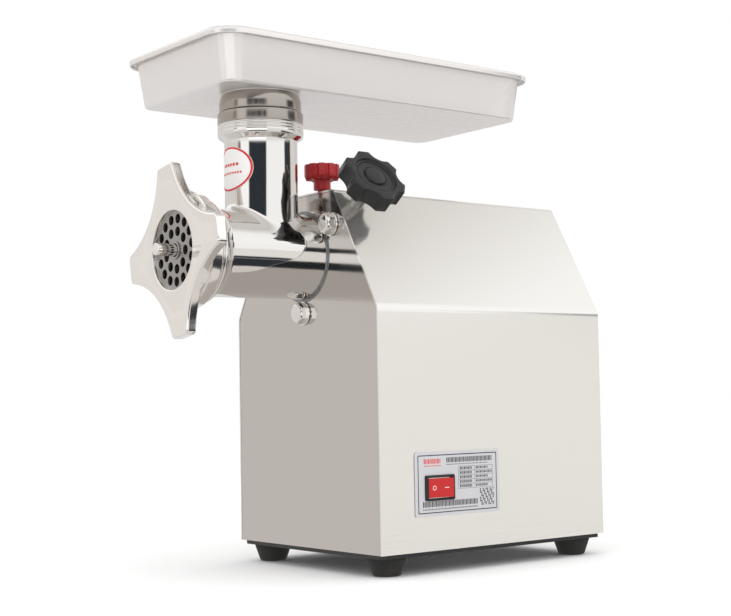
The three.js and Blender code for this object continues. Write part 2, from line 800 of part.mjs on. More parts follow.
/** One flight that winds round the core, as thick as its share of the pitch. */
function augerFlight() {
  const length = augerBack - augerFront - 3;
  const rootHalf = THREE.MathUtils.degToRad(42);
  const tipHalf = THREE.MathUtils.degToRad(20);
  const shape = new THREE.Shape();
  shape.absarc(0, 0, augerCore, rootHalf, 2 * Math.PI - rootHalf);
  shape.absarc(0, 0, augerRadius, -tipHalf, tipHalf);
  const steps = Math.round(length / augerPitch * 12);
  const screw = new THREE.ExtrudeGeometry(shape,
    { depth: length, steps, bevelEnabled: false, curveSegments: 3 });
  const spot = new THREE.Vector3();
  const place = screw.attributes.position;
  for (let i = 0; i < place.count; i += 1) {
    spot.fromBufferAttribute(place, i);
    spot.applyAxisAngle(new THREE.Vector3(0, 0, 1), 2 * Math.PI * spot.z / augerPitch);
    place.setXYZ(i, spot.x, spot.y, spot.z);
  }
  return screw.rotateX(Math.PI / 2).translate(0, augerFront + length, 0);
}

/** Flight, thrust flange, journal, the knife's square and the drive tang, in one casting. */
function auger() {
  const tang = tangSquare / 2;
  const square = knifeSquare / 2 - running;
  return cut(
    join(
      augerFlight(),
      revolve([[0, augerBack - 5], [augerCore, augerBack - 5], [24, augerBack - 3], [24, augerBack],
        [augerJournal, augerBack], [augerJournal, neckLength], [0, neckLength]], medium),
      block(-tang, neckLength - 1, -tang, tang, neckLength + tangLength, tang),
      block(-square, plateBack + 2 * gap, -square, square, augerFront + 1, square)),
    bar(studRadius - 1 + gap, plateBack - 1, plateBack + 20, small));
}

/** The stud that carries the plate's centre, screwed into the auger's nose. */
function augerStud() {
  return revolve([[0, ringFace - studReach], [studRadius - 1, ringFace - studReach],
    [studRadius, ringFace - studReach + 1], [studRadius, plateBack], [studRadius - 1, plateBack],
    [studRadius - 1, plateBack + 18], [0, plateBack + 18]], small);
}

add(onAxis, "auger", auger(), castIron);
add(onAxis, "auger_stud", augerStud(), toolSteel);
add(onAxis, "thrust_washer", sleeve(augerJournal + running, 24, augerBack + gap,
  augerBack + gap + washer, medium),
  whiteNylon);

// ---------------------------------------------------------------- meat tray

/** A level rectangle with round corners as a loop of points. */
function rectangleLoop(halfX, halfY, radius, z, steps = 4) {
  const loop = [];
  [[1, 1], [-1, 1], [-1, -1], [1, -1]].forEach(([sideX_, sideY_], corner) => {
    for (let i = 0; i <= steps; i += 1) {
      const angle = (corner + i / steps) * Math.PI / 2;
      const x = sideX_ * (halfX - radius) + radius * Math.cos(angle);
      const y = sideY_ * (halfY - radius) + radius * Math.sin(angle);
      loop.push(new THREE.Vector3(x, y, z));
    }
  });
  return loop;
}

/** Rolled rim, leaning walls and a flat floor with a neck that drops into the throat. */
function meatTray() {
  const wall = trayRimWidth + trayWallLean;
  const rimBottom = trayDepth - trayRimHeight;
  const section = [
    [wall + trayBend, 0], [wall + 0.3 * trayBend, 0.3 * trayBend], [wall, trayBend],
    [trayRimWidth, rimBottom], [1.2, rimBottom], [0, rimBottom + 1.5], [0, trayDepth - 1.5],
      [1.2, trayDepth],
    [trayRimWidth, trayDepth], [trayRimWidth + traySheet, trayDepth - 1.5],
    [wall + traySheet, trayBend], [wall + trayBend + 0.4 * traySheet, traySheet]];
  const floor = collarTop + gap + trayNeckHeight;
  const dish = loft(section.map(([inset, z]) => rectangleLoop(
    trayWidth / 2 - inset, trayLength / 2 - inset, trayCorner - inset, z)))
    .translate(trayRight - trayWidth / 2, trayFront + trayLength / 2, floor);
  const spigot = throatBore - running;
  const hole = spigot - traySheet;
  const seat = collarTop + gap;
  const neck = revolveUp([
    [hole, collarTop - traySpigot], [spigot, collarTop - traySpigot], [spigot, seat],
      [trayNeckRadius, seat],
    [trayNeckRadius, seat + 0.55 * trayNeckHeight], [trayNeckRadius - 2, seat + 0.85 * trayNeckHeight],
    [trayNeckRadius - 5, floor + 0.5], [hole, floor + 0.5]], fine).translate(0, throatOffset, 0);
  return cut(join(dish, neck), post(hole, collarTop, floor + 5, fine).translate(0, throatOffset, 0));
}

add(onAxis, "tray", meatTray(), satinSteel);

// ---------------------------------------------------------------- gearbox

/** A spur gear's outline: four corners to a tooth, tooth 0 centred on an angle in degrees. */
function gearPoints(teeth, module, firstTooth) {
  const pitch = teeth * module / 2;
  const base = pitch * Math.cos(THREE.MathUtils.degToRad(20));
  const involute = (radius) => {
    const angle = Math.acos(Math.min(1, base / radius));
    return Math.tan(angle) - angle;
  };
  const halfThickness = (Math.PI * module / 2 - backlash) / (2 * pitch);
  const halfTooth = (radius) => halfThickness + involute(pitch) - involute(radius);
  const tip = pitch + module;
  const root = pitch - 1.25 * module;
  const points = [];
  for (let tooth = 0; tooth < teeth; tooth += 1) {
    const middle = THREE.MathUtils.degToRad(firstTooth) + 2 * Math.PI * tooth / teeth;
    const corners = [[root, -halfTooth(root)], [tip, -halfTooth(tip)], [tip, halfTooth(tip)],
      [root, halfTooth(root)]];
    corners.forEach(([radius, swing]) => points.push(new THREE.Vector2(
      radius * Math.cos(middle + swing), radius * Math.sin(middle + swing))));
  }
  return points;
}

function gear(teeth, module, firstTooth, start, end, bore = 0) {
  const shape = new THREE.Shape(gearPoints(teeth, module, firstTooth));
  if (bore) shape.holes.push(new THREE.Path(circlePoints(bore, medium)));
  return slab(shape, start, end);
}

/** An upright shape with a half-round top and bottom, hung from the origin. */
function stadium(radius, drop) {
  return new THREE.Shape()
    .absarc(0, 0, radius, 0, Math.PI)
    .absarc(0, -drop, radius, Math.PI, 2 * Math.PI);
}

const seatFront = plateRecess + plateThickness + gap;
const sealFront = chamberFront;
const firstBearing = sealFront + sealWidth + bearingSpace;
const secondBearing = firstBearing + bearingWidth + bearingSpace;
const outputGearFront = secondBearing + bearingWidth + 2 * bearingSpace;
const outputGearBack = outputGearFront + outputFace;
const layGearFront = outputGearBack + 3;
const layGearBack = layGearFront + layFace;
const noseFront = neckLength + 1;
const layBearingFront = chamberFront + chamberWall;
const layBearingRear = coverFront + bearingSpace;
const rotorBearingFront = coverBack - rotorBearingWidth - gap;
const meshAbove = 90;
const meshBelow = -90;

/** The seat for the head's neck and, behind it, the chamber that holds the gears. */
function gearboxHousing() {
  const bearingEnd = outputGearFront - bearingSpace;
  const layEnd = layBearingFront + layBearingWidth + bearingSpace;
  const spigot = bar(boreRadius + spigotWall, plateRecess, chamberFront, fine);
  const seat = bar(seatOuter, seatFront, chamberFront + 1, fine);
  const ears = boltAngles.map((degrees) => {
    const [x, z] = around(boltCircle, degrees);
    return bar(boltRadius + 5, seatFront, chamberFront + 1, small).translate(x, 0, z);
  });
  const boss = clampBar(clampBoltRadius + 6, barrelRadius, panelDistance - 6, small);
  const chamber = cut(
    slab(stadium(chamberRadius, chamberDrop), chamberFront, chamberBack, 10),
    slab(stadium(chamberRadius - chamberWall, chamberDrop), chamberFront + chamberWall, chamberBack + 1,
      10));
  const outputBoss = bar(outputBearingRadius + 4.5, chamberFront + 1, bearingEnd, medium);
  const layBoss = bar(layBearingRadius + 4, chamberFront + 1, layEnd, medium).translate(0, 0, -layDrop);
  const boltHoles = boltAngles.map((degrees) => {
    const [x, z] = around(boltCircle, degrees);
    return bar(boltRadius + gap, seatFront - 1, boltReach + gap, small).translate(x, 0, z);
  });
  const oilHole = post(plugShank + gap, seatOuter - plugDepth, seatOuter + 5, small).translate(0,
    plugPlace, 0);
  const oilPassage = bar(2, plugPlace, chamberFront + chamberWall + 1, 8)
    .translate(0, 0, chamberRadius - chamberWall - 2);
  return cut(
    join(spigot, seat, ...ears, boss, chamber, outputBoss, layBoss),
    bar(boreRadius, -10, chamberFront, fine),
    bar(sealRadius + gap, chamberFront - 1, firstBearing, medium),
    bar(outputBearingRadius + gap, firstBearing - gap, bearingEnd + 1, medium),
    bar(layBearingRadius + gap, layBearingFront - gap, layEnd + 1, medium).translate(0, 0, -layDrop),
    clampBar(clampBoltRadius + gap, barrelRadius - 2, panelDistance, small),
    ...boltHoles, oilHole, oilPassage);
}

/** Closes the gear chamber and carries the motor's front bearing. */
function gearboxCover() {
  const shape = slab(stadium(chamberRadius, chamberDrop), coverFront, coverBack, 10);
  const disc = bar(motorRadius, coverFront, coverBack, fine).translate(0, 0, -rotorDrop);
  return cut(
    join(shape, disc),
    bar(layBearingRadius + gap, coverFront - 1, layBearingRear + layBearingWidth + gap, medium)
      .translate(0, 0, -layDrop),
    bar(rotorBearingRadius + gap, rotorBearingFront - gap, coverBack + 1, medium).translate(0, 0,
      -rotorDrop),
    bar(rotorJournal + 2, coverFront - 1, coverBack + 1, small).translate(0, 0, -rotorDrop));
}

/** Shaft with the square socket that takes the auger's tang. */
function outputShaft() {
  const socket = tangSquare / 2 + running / 2;
  return cut(
    bar(outputJournal, noseFront, outputGearBack, medium),
    block(-socket, noseFront - 1, -socket, socket, neckLength + tangLength + 1, socket));
}

function layshaft() {
  return join(
    bar(layJournal, layBearingFront + gap, layBearingRear + layBearingWidth, small),
    gear(pinionTeeth, outputModule, meshAbove + 180 / pinionTeeth, outputGearFront - 1,
      outputGearBack + 1),
    bar(layJournal + 2, outputGearBack, layGearBack, small));
}

function bearing(inner, outer, start, width) {
  return sleeve(inner + gap, outer, start, start + width, medium);
}

add(onAxis, "gearbox_housing", gearboxHousing(), aluminium);
add(onAxis, "gearbox_cover", gearboxCover(), aluminium);
add(onAxis, "shaft_seal", sleeve(outputJournal + gap, sealRadius, sealFront + gap,
  sealFront + sealWidth, medium),
  blackRubber);
add(onAxis, "output_bearing_front", bearing(outputJournal, outputBearingRadius, firstBearing,
  bearingWidth), toolSteel);
add(onAxis, "output_bearing_rear", bearing(outputJournal, outputBearingRadius, secondBearing,
  bearingWidth), toolSteel);
add(onAxis, "output_shaft", outputShaft(), gearSteel);
add(onAxis, "output_gear",
  gear(outputTeeth, outputModule, meshBelow, outputGearFront, outputGearBack, outputJournal + gap),
    gearSteel);

const layAxis = new THREE.Group();
layAxis.position.z = -layDrop;
onAxis.add(layAxis);
add(layAxis, "layshaft", layshaft(), gearSteel);
add(layAxis, "lay_gear", gear(layTeeth, layModule, meshBelow, layGearFront, layGearBack,
  layJournal + 2 + gap),
  gearSteel);
add(layAxis, "lay_bearing_front", bearing(layJournal, layBearingRadius, layBearingFront,
  layBearingWidth), toolSteel);
add(layAxis, "lay_bearing_rear", bearing(layJournal, layBearingRadius, layBearingRear, layBearingWidth),
  toolSteel);

// ---------------------------------------------------------------- motor

const statorFront = (motorFront + motorBack - statorLength) / 2;
const statorBack = statorFront + statorLength;
const windingLength = 16;
const endCapFront = motorBack + gap;
const endCapBack = endCapFront + endCapThickness;
const rearBearing = endCapFront + gap;
const fanFront = endCapBack + 2;
const rotorCore = rotorJournal + 2;

function rotorShaft() {
  return join(
    bar(rotorJournal, layGearFront - 1, fanFront + fanWidth, small),
    bar(rotorCore, rotorBearingFront + rotorBearingWidth + 1, rearBearing - 1, small),
    gear(pinionTeeth, layModule, meshAbove + 180 / pinionTeeth, layGearFront - 1, layGearBack + 1));
}

/** A coil end: a fat ring beside the stator. */
function winding(start) {
  const inner = rotorRadius + 3;
  const outer = motorRadius - motorWall - 4;
  const end = start + windingLength;
  return revolve([[inner + 5, start], [outer - 5, start], [outer, start + 5], [outer, end - 5],
    [outer - 5, end],
    [inner + 5, end], [inner, end - 5], [inner, start + 5]], medium);
}

function motorEndCap() {
  return cut(
    revolve([[0, endCapFront], [motorRadius, endCapFront], [motorRadius, endCapFront + 6],
      [motorRadius - 8, endCapBack],
      [0, endCapBack]], fine),
    bar(rotorBearingRadius + gap, endCapFront - 1, rearBearing + rotorBearingWidth + gap, medium),
    bar(rotorJournal + 2, endCapFront, endCapBack + 1, small));
}

/** A hub, a disc and straight radial blades. */
function coolingFan() {
  const blades = Array.from({ length: 7 }, (_, i) => block(-1, fanFront, rotorJournal + 3, 1,
    fanFront + fanWidth,
    fanRadius - 1).rotateY(2 * Math.PI * i / 7));
  return cut(
    join(
      bar(rotorJournal + 5, fanFront, fanFront + fanWidth, small),
      bar(fanRadius, fanFront, fanFront + 2, medium),
      ...blades),
    bar(rotorJournal + gap, fanFront - 1, fanFront + fanWidth + 1, small));
}

/** A bent bracket that carries the motor on the base plate. */
function motorCradle() {
  const halfX = 40;
  const bottom = footHeight + basePlate + 2 * gap + 5 - axisZ + rotorDrop;
  const top = -motorRadius * 0.72;
  const front = statorFront + 5;
  const back = statorBack - 5;
  return cut(
    block(-halfX, front, bottom, halfX, back, top),
    block(-halfX + 4, front - 1, bottom + 4, halfX - 4, back + 1, -motorRadius - 6),
    bar(motorRadius + gap, front - 1, back + 1, fine));
}

const motorAxis = new THREE.Group();
motorAxis.position.z = -rotorDrop;
onAxis.add(motorAxis);
add(motorAxis, "motor_housing", sleeve(motorRadius - motorWall, motorRadius, motorFront, motorBack,
  fine), greyPaint);
add(motorAxis, "motor_end_cap", motorEndCap(), aluminium);
add(motorAxis, "stator_core",
  sleeve(rotorRadius + rotorAir, motorRadius - motorWall - gap, statorFront, statorBack, fine),
    gearSteel);
add(motorAxis, "winding_front", winding(statorFront - gap - windingLength), copper);
add(motorAxis, "winding_rear", winding(statorBack + gap), copper);
add(motorAxis, "rotor_shaft", rotorShaft(), gearSteel);
add(motorAxis, "rotor_core", sleeve(rotorCore + gap, rotorRadius, statorFront, statorBack, medium),
  gearSteel);
add(motorAxis, "fan", coolingFan(), blackPlastic);
add(motorAxis, "motor_bearing_front",
  bearing(rotorJournal, rotorBearingRadius, rotorBearingFront, rotorBearingWidth), toolSteel);
add(motorAxis, "motor_bearing_rear",
  bearing(rotorJournal, rotorBearingRadius, rearBearing, rotorBearingWidth), toolSteel);
add(motorAxis, "motor_cradle", motorCradle(), blackPaint);

/** The run capacitor, a can standing on the base plate. */
function capacitor() {
  const floor = footHeight + basePlate + 2 * gap;
  return revolveUp([[0, floor], [19, floor], [20, floor + 1], [20, floor + 64], [18, floor + 66],
    [6, floor + 66],
    [6, floor + 70], [0, floor + 70]], medium);
}

add(machine, "capacitor", capacitor(), aluminium).position.set(-bodyWidth / 2 + 30, 60, 0);

// ---------------------------------------------------------------- clamp, bolts and oil plug

/** Hexagonal head and washer in front of the plate, shank into the gearbox. */
function flangeBolt() {
  const face = plateRecess - gap;
  const washerFace = face - boltWasher;
  const head = washerFace - boltHeadHeight;
  const corner = boltHeadFlats / Math.sqrt(3);
  const hex = new THREE.CylinderGeometry(corner, corner - 1, 1, 6).translate(0, head + 0.5, 0);
  const body = new THREE.CylinderGeometry(corner, corner, boltHeadHeight - 1, 6)
    .translate(0, (head + 1 + washerFace) / 2, 0);
  return join(hex, body, bar(corner + 1, washerFace, face, medium),
    bar(boltRadius, face - 1, boltReach, small));
}

boltAngles.forEach((degrees, i) => {
  const [x, z] = around(boltCircle, degrees);
  add(onAxis, `flange_bolt_${i + 1}`, flangeBolt(), toolSteel).position.set(x, 0, z);
});

const knobFace = panelDistance + knobStandOff;
const knobBack = knobFace - knobThickness;

/** Six lobes with a dished face and a boss in the middle, drawn along the clamp's axis. */
function clampKnob() {
  const count = 36;
  const deep = 3.9;
  const lobed = (radius, z) => lobedLoop(radius, deep, knobLobes, z, count);
  const round = (radius, z) => lobedLoop(radius, 0, knobLobes, z, count);
  const body = loft([
    round(knobHubRadius, knobBack - knobHubLength), round(knobHubRadius, knobBack),
      lobed(knobRadius - 2, knobBack),
    lobed(knobRadius, knobBack + 2), lobed(knobRadius, knobFace - 2), lobed(knobRadius - 2, knobFace),
    round(20, knobFace), round(18.5, knobFace - 2.6), round(11, knobFace - 2.6),
      round(10.5, knobFace - 0.4)]);
  return cut(body, post(clampBoltRadius + gap, knobBack - knobHubLength - 1, knobBack + knobBore,
    small));
}

/** The threaded bolt that presses on the head's neck. */
function clampBolt() {
  return post(clampBoltRadius, boreRadius, knobBack + knobBore - gap, small);
}

for (const [name, geometry, material] of [
  ["clamp_knob", clampKnob(), blackPlastic], ["clamp_bolt", clampBolt(), toolSteel]]) {
  const mesh = add(onAxis, name, geometry, material);
  mesh.position.y = clampPlace;
  mesh.rotation.y = Math.PI / 2 - clampAngle;
}

/** A fluted head on a hub, with a threaded shank into the seat casting. */
function oilPlug() {
  const top = ridgeZ - axisZ;
  const count = 40;
  const fluted = (radius, z) => lobedLoop(radius, 1.6, 10, z, count);
  const round = (radius, z) => lobedLoop(radius, 0, 10, z, count);
  const hubFoot = top + plugNeck;
  const headFoot = hubFoot + plugHub;
  const crown = headFoot + plugHead;
  return loft([
    round(plugShank, seatOuter - plugDepth + gap), round(plugShank, hubFoot),
      round(plugHubRadius, hubFoot),
    round(plugHubRadius, headFoot), fluted(plugHeadRadius - 1.5, headFoot),
      fluted(plugHeadRadius, headFoot + 1.5),
    fluted(plugHeadRadius, crown - 1.5), fluted(plugHeadRadius - 1.5, crown)]);
}

add(onAxis, "oil_plug", oilPlug(), redPlastic).position.y = plugPlace;

// The origin: the middle of the footprint, on the floor.
const extent = new THREE.Box3().setFromObject(machine);
const middle = extent.getCenter(new THREE.Vector3());
machine.position.set(-middle.x, -middle.y, 0);
machine.updateMatrixWorld(true);

export default machine;
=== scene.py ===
# %% [markdown]
# # An electric meat grinder
#
# A steel box on four rubber feet holds a motor and a gearbox. A polished head sticks out of its front: a
# barrel with a screw inside, a throat that stands up from it, and a meat tray that drops into the throat.
# The CAD frame gives every size and place. This lesson makes the smooth surfaces that replace its facets,
# and the finishes.

# %% Load the frame
import math

import bmesh
import bpy
import numpy as np
from mathutils import Matrix, Vector


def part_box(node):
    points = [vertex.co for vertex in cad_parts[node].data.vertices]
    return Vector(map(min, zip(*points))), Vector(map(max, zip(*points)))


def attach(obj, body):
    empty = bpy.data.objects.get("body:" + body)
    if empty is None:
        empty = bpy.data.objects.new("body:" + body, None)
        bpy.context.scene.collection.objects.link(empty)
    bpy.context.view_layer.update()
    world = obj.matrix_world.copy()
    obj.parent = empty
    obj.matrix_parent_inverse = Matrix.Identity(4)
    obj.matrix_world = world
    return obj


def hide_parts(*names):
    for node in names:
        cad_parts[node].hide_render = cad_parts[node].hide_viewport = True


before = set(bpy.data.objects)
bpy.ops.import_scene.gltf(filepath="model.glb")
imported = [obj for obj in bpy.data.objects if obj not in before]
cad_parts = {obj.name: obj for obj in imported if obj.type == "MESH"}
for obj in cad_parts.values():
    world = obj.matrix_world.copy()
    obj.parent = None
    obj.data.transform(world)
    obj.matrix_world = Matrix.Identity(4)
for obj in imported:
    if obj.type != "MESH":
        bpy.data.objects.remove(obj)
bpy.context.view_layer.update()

# %% [markdown]
# ## Where things are
#
# Boxes of the CAD nodes give the planes and axes that everything else is built on, so no place is typed
# twice. Lengths in this file are metres. `MM` turns the millimetres of a drawing into metres.

# %% Planes and axes from the frame
MM = 0.001


def box(node):
    """Lowest and highest corner of a CAD node as arrays."""
    low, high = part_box(node)
    return np.array(low), np.array(high)


def middle(node):
    """Centre of a CAD node's box."""
    low, high = box(node)
    return (low + high) / 2


shell_low, shell_high = box("body_shell")
seal = middle("shaft_seal")
AXIS_X, AXIS_Z = float(seal[0]), float(seal[2])
EDGE_Y = float(shell_low[1])
TAU = 2 * math.pi
print("barrel axis at x", round(AXIS_X, 4), "z", round(AXIS_Z, 4))

# %% [markdown]
# ## Meshes from formulas
#
# Almost every piece here is turned, extruded or pressed, so its skin is a stack of loops: each loop is one
# section, and neighbouring loops are joined by quads. An array of shape (loops, points, 3) holds the
# stack. A stack whose last loop meets the first again is a closed ring, such as a pressed sheet with both
# its faces. Another stack is closed by a flat face over each end.

# %% Skin helpers
def make_mesh(name, points, faces, sharp=35):
    """A mesh object at the origin from vertices and faces, smooth apart from edges sharper than an angle."""
    mesh = bpy.data.meshes.new(name)
    mesh.from_pydata(np.asarray(points, float).reshape(-1, 3).tolist(), [], faces)
    mesh.validate()
    mesh.polygons.foreach_set("use_smooth", np.ones(len(mesh.polygons), bool))
    mesh.set_sharp_from_angle(angle=math.radians(sharp))
    mesh.update()
    piece = bpy.data.objects.new(name, mesh)
    bpy.context.scene.collection.objects.link(piece)
    return piece


def skin_faces(loops, count, ring, first=0):
    """Quads between neighbouring loops of count points; ring joins the last loop to the first."""
    rows = np.arange(loops if ring else loops - 1)[:, None]
    columns = np.arange(count)[None, :]
    below = first + rows * count
    above = first + (rows + 1) % loops * count
    ahead = (columns + 1) % count
    quads = np.stack([below + columns, below + ahead, above + ahead, above + columns], -1)
    return quads.reshape(-1, 4).tolist()


def loft(name, loops, ring=False, sharp=35):
    """A skin over a stack of loops, which turn anticlockwise seen from the last loop's side."""
    loops = np.asarray(loops, float)
    rows, count = loops.shape[:2]
    faces = skin_faces(rows, count, ring)
    if not ring:
        faces.append(list(range(count))[::-1])
        faces.append(list(range((rows - 1) * count, rows * count)))
    return make_mesh(name, loops, faces, sharp)


def stack(radii, heights, angles):
    """Loops about Z: radii is (loops, points) or (loops, 1), and heights is one value a loop."""
    radii = np.broadcast_to(np.asarray(radii, float), (len(heights), len(angles)))
    x = radii * np.cos(angles)
    y = radii * np.sin(angles)
    z = np.broadcast_to(np.asarray(heights, float)[:, None], x.shape)
    return np.stack([x, y, z], -1)


def circle(count):
    """Angles round a circle."""
    return np.arange(count) * TAU / count


def rounded(profile, radius, steps=4):
    """A profile of [r, h] corners with each corner turned into an arc that touches both its sides.

    The arc is the quadratic curve whose control point is the corner. A corner nearer to its
    neighbours than the radius takes a smaller curve."""
    corners = np.asarray(profile, float)
    out = [corners[0]]
    for before, corner, after in zip(corners, corners[1:], corners[2:]):
        back, on = before - corner, after - corner
        reach = min(radius, 0.45 * np.linalg.norm(back), 0.45 * np.linalg.norm(on))
        start = corner + back / np.linalg.norm(back) * reach
        end = corner + on / np.linalg.norm(on) * reach
        t = np.linspace(0, 1, steps + 1)[:, None]
        out.extend((1 - t) ** 2 * start + 2 * t * (1 - t) * corner + t ** 2 * end)
    out.append(corners[-1])
    return np.array(out)


def turned(name, profile, place, along="z", segments=96, ring=False, sharp=35):
    """A turned piece: the profile [r, h] carried round an axis through place.

    Along z the height h goes up; along y it goes to +Y."""
    profile = np.asarray(profile, float)
    if not ring:
        profile[:, 0] = np.maximum(profile[:, 0], 1e-5)
    loops = stack(profile[:, :1], profile[:, 1], circle(segments))
    if along == "y":
        loops = np.stack([loops[..., 1], loops[..., 2], loops[..., 0]], -1)
    return loft(name, loops + np.asarray(place), ring, sharp)


def settle(piece, body, nodes, material):
    """Gives a finished piece its body, the CAD nodes it stands for and its material."""
    if nodes:
        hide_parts(*nodes)
    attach(piece, body)
    piece.data.materials.clear()
    piece.data.materials.append(material)
    print(f"{piece.name:22} {len(piece.data.polygons):6} faces on {body}")
    return piece


# %% [markdown]
# A punched sheet is easiest as a flat curve: one outline, any number of holes inside it, a thickness and a
# small round on every edge. Blender fills it, and the result is kept as a mesh.

# %% Flat pieces
def flat_piece(name, outlines, thickness, edge=0.0, resolution=4):
    """A slab with holes in the plane z = 0 to thickness. Each outline is a list of [x, y] points."""
    curve = bpy.data.curves.new(name, "CURVE")
    curve.dimensions = "2D"
    curve.fill_mode = "BOTH"
    curve.extrude = thickness / 2 - edge
    curve.bevel_depth = edge
    curve.bevel_resolution = resolution if edge else 0
    curve.offset = -edge
    for points in outlines:
        spline = curve.splines.new("POLY")
        spline.points.add(len(points) - 1)
        flat = np.zeros((len(points), 4))
        flat[:, :2] = points
        flat[:, 3] = 1
        spline.points.foreach_set("co", flat.ravel())
        spline.use_cyclic_u = True
    source = bpy.data.objects.new(name + "_curve", curve)
    bpy.context.scene.collection.objects.link(source)
    mesh = bpy.data.meshes.new_from_object(source.evaluated_get(bpy.context.evaluated_depsgraph_get()))
    bpy.data.objects.remove(source)
    mesh.transform(Matrix.Translation((0, 0, thickness / 2)))
    return weld(name, mesh)


def weld(name, mesh, sharp=35):
    """Merges doubles, turns the faces outwards and shades the mesh smooth between its sharp edges."""
    work = bmesh.new()
    work.from_mesh(mesh)
    bmesh.ops.remove_doubles(work, verts=work.verts, dist=1e-6)
    bmesh.ops.dissolve_degenerate(work, edges=work.edges, dist=1e-7)
    bmesh.ops.recalc_face_normals(work, faces=work.faces)
    work.to_mesh(mesh)
    work.free()
    mesh.name = name
    mesh.polygons.foreach_set("use_smooth", np.ones(len(mesh.polygons), bool))
    mesh.set_sharp_from_angle(angle=math.radians(sharp))
    piece = bpy.data.objects.new(name, mesh)
    bpy.context.scene.collection.objects.link(piece)
    return piece


def welded_loft(name, loops, sharp=35, ring=False):
    """A loft whose doubles are merged and whose faces are turned outwards."""
    rough = loft(name + "_loops", loops, ring)
    mesh = rough.data
    bpy.data.objects.remove(rough)
    return weld(name, mesh, sharp)


def stand(piece, x_axis, y_axis, origin):
    """Moves a flat piece's mesh so that its x and y run along two directions from an origin."""
    x_axis, y_axis = Vector(x_axis), Vector(y_axis)
    z_axis = x_axis.cross(y_axis)
    turn = Matrix([x_axis, y_axis, z_axis]).transposed().to_4x4()
    piece.data.transform(Matrix.Translation(origin) @ turn)
    return piece


def disc_outline(x, y, radius, count=32):
    """A round hole or edge."""
    angles = circle(count)
    return np.stack([x + radius * np.cos(angles), y + radius * np.sin(angles)], -1)


def rectangle_outline(width, height, radius, x=0.0, y=0.0, steps=6):
    """A rectangle with round corners: four quarter circles joined by straight sides."""
    quarter = np.linspace(0, math.pi / 2, steps + 1)
    turns = np.concatenate([quarter + k * math.pi / 2 for k in range(4)])
    side_x = np.repeat([1, -1, -1, 1], steps + 1) * (width / 2 - radius)
    side_y = np.repeat([1, 1, -1, -1], steps + 1) * (height / 2 - radius)
    return np.stack([x + side_x + radius * np.cos(turns), y + side_y + radius * np.sin(turns)], -1)

# %% [markdown]
# ## One helper for materials
#
# A material is a principled shader with a few nodes in front of it. `node` adds any node with its
# settings and links. Colours are written as sRGB hex, as read from a colour picker, and `linear` turns
# them into the numbers that the shader wants.

# %% Node helper
def linear(hex_colour):
    """sRGB hex to linear RGBA: c / 12.92 below 0.04045, and ((c + 0.055) / 1.055) ** 2.4 above."""
    values = [int(hex_colour[i:i + 2], 16) / 255 for i in (1, 3, 5)]
    return [v / 12.92 if v <= 0.04045 else ((v + 0.055) / 1.055) ** 2.4 for v in values] + [1.0]


def new_material(name, colour, metallic=0.0, roughness=0.5, **sockets):
    """A material and its principled shader; what is the same all over is set on the shader itself."""
    material = bpy.data.materials.new(name)
    material.use_nodes = True
    shader = material.node_tree.nodes["Principled BSDF"]
    shader.inputs["Base Color"].default_value = linear(colour)
    shader.inputs["Metallic"].default_value = metallic
    shader.inputs["Roughness"].default_value = roughness
    for socket, value in sockets.items():
        shader.inputs[socket.replace("_", " ")].default_value = value
    return material


def node(material, kind, settings=None, **links):
    """Adds a node. settings are its properties; links are socket names, a value or another socket each."""
    made = material.node_tree.nodes.new(kind)
    for key, value in (settings or {}).items():
        setattr(made, key, value)
    for name, value in links.items():
        socket = made.inputs[int(name[1:]) if name[1:].isdigit() else name.replace("_", " ")]
        if isinstance(value, bpy.types.NodeSocket):
            material.node_tree.links.new(value, socket)
        else:
            socket.default_value = value
    return made


def feed(material, socket, output):
    """Links an output to a socket of the material's principled shader."""
    material.node_tree.links.new(output, material.node_tree.nodes["Principled BSDF"].inputs[socket])


def streaks(material, scale, detail=4.0, source="Object"):
    """Noise stretched by a different scale along each axis: brushing, casting texture or grime."""
    coordinates = node(material, "ShaderNodeTexCoord")
    mapping = node(material, "ShaderNodeMapping", Vector=coordinates.outputs[source], Scale=scale)
    return node(material, "ShaderNodeTexNoise", Vector=mapping.outputs["Vector"], Scale=1.0, Detail=detail)


def spread(material, value, low, high, start=0.3, end=0.7):
    """Maps a value that runs from start to end onto low to high."""
    ramp = node(material, "ShaderNodeMapRange", Value=value, i1=start, i2=end, i3=low, i4=high)
    return ramp.outputs["Result"]


def bump(material, height, distance, strength=1.0):
    """Bends the shading by a height, in metres when the height runs from 0 to 1."""
    made = node(material, "ShaderNodeBump", Height=height, Distance=distance, Strength=strength)
    feed(material, "Normal", made.outputs["Normal"])
    return made


def two_tone(material, value, first, second, start=0.35, end=0.65):
    """Blends two colours by a value and feeds the base colour."""
    share = spread(material, value, 0.0, 1.0, start, end)
    mix = node(material, "ShaderNodeMix", {"data_type": "RGBA"}, i0=share, i6=linear(first),
               i7=linear(second))
    feed(material, "Base Color", mix.outputs[2])
    return mix


# %% [markdown]
# ## Finishes of the steel
#
# The casing and the tray are stainless sheet with a fine satin finish: it was ground by a belt along the
# sheet, which leaves scratches a few hundredths of a millimetre wide. They are too fine to see as lines,
# so they show as soft streaks of roughness. The head and the ring nut are cast, ground and then polished
# with a mop until they reflect like a mirror, with a faint waviness left by the hand that held them.

# %% Sheet steel
def satin_steel(name, along, colour, metallic, roughness):
    """Belt-ground stainless sheet: streaks 0.8 mm wide and 150 mm long, drawn ten times too wide."""
    material = new_material(name, colour, metallic, roughness)
    fine, long = 1 / (0.8 * MM), 1 / (150 * MM)
    scale = [long if axis == along else fine for axis in "xyz"]
    grain = streaks(material, scale, 5.0)
    feed(material, "Roughness", spread(material, grain.outputs["Fac"], roughness - 0.04, roughness + 0.05))
    bump(material, grain.outputs["Fac"], 0.004 * MM, 0.1)
    return material


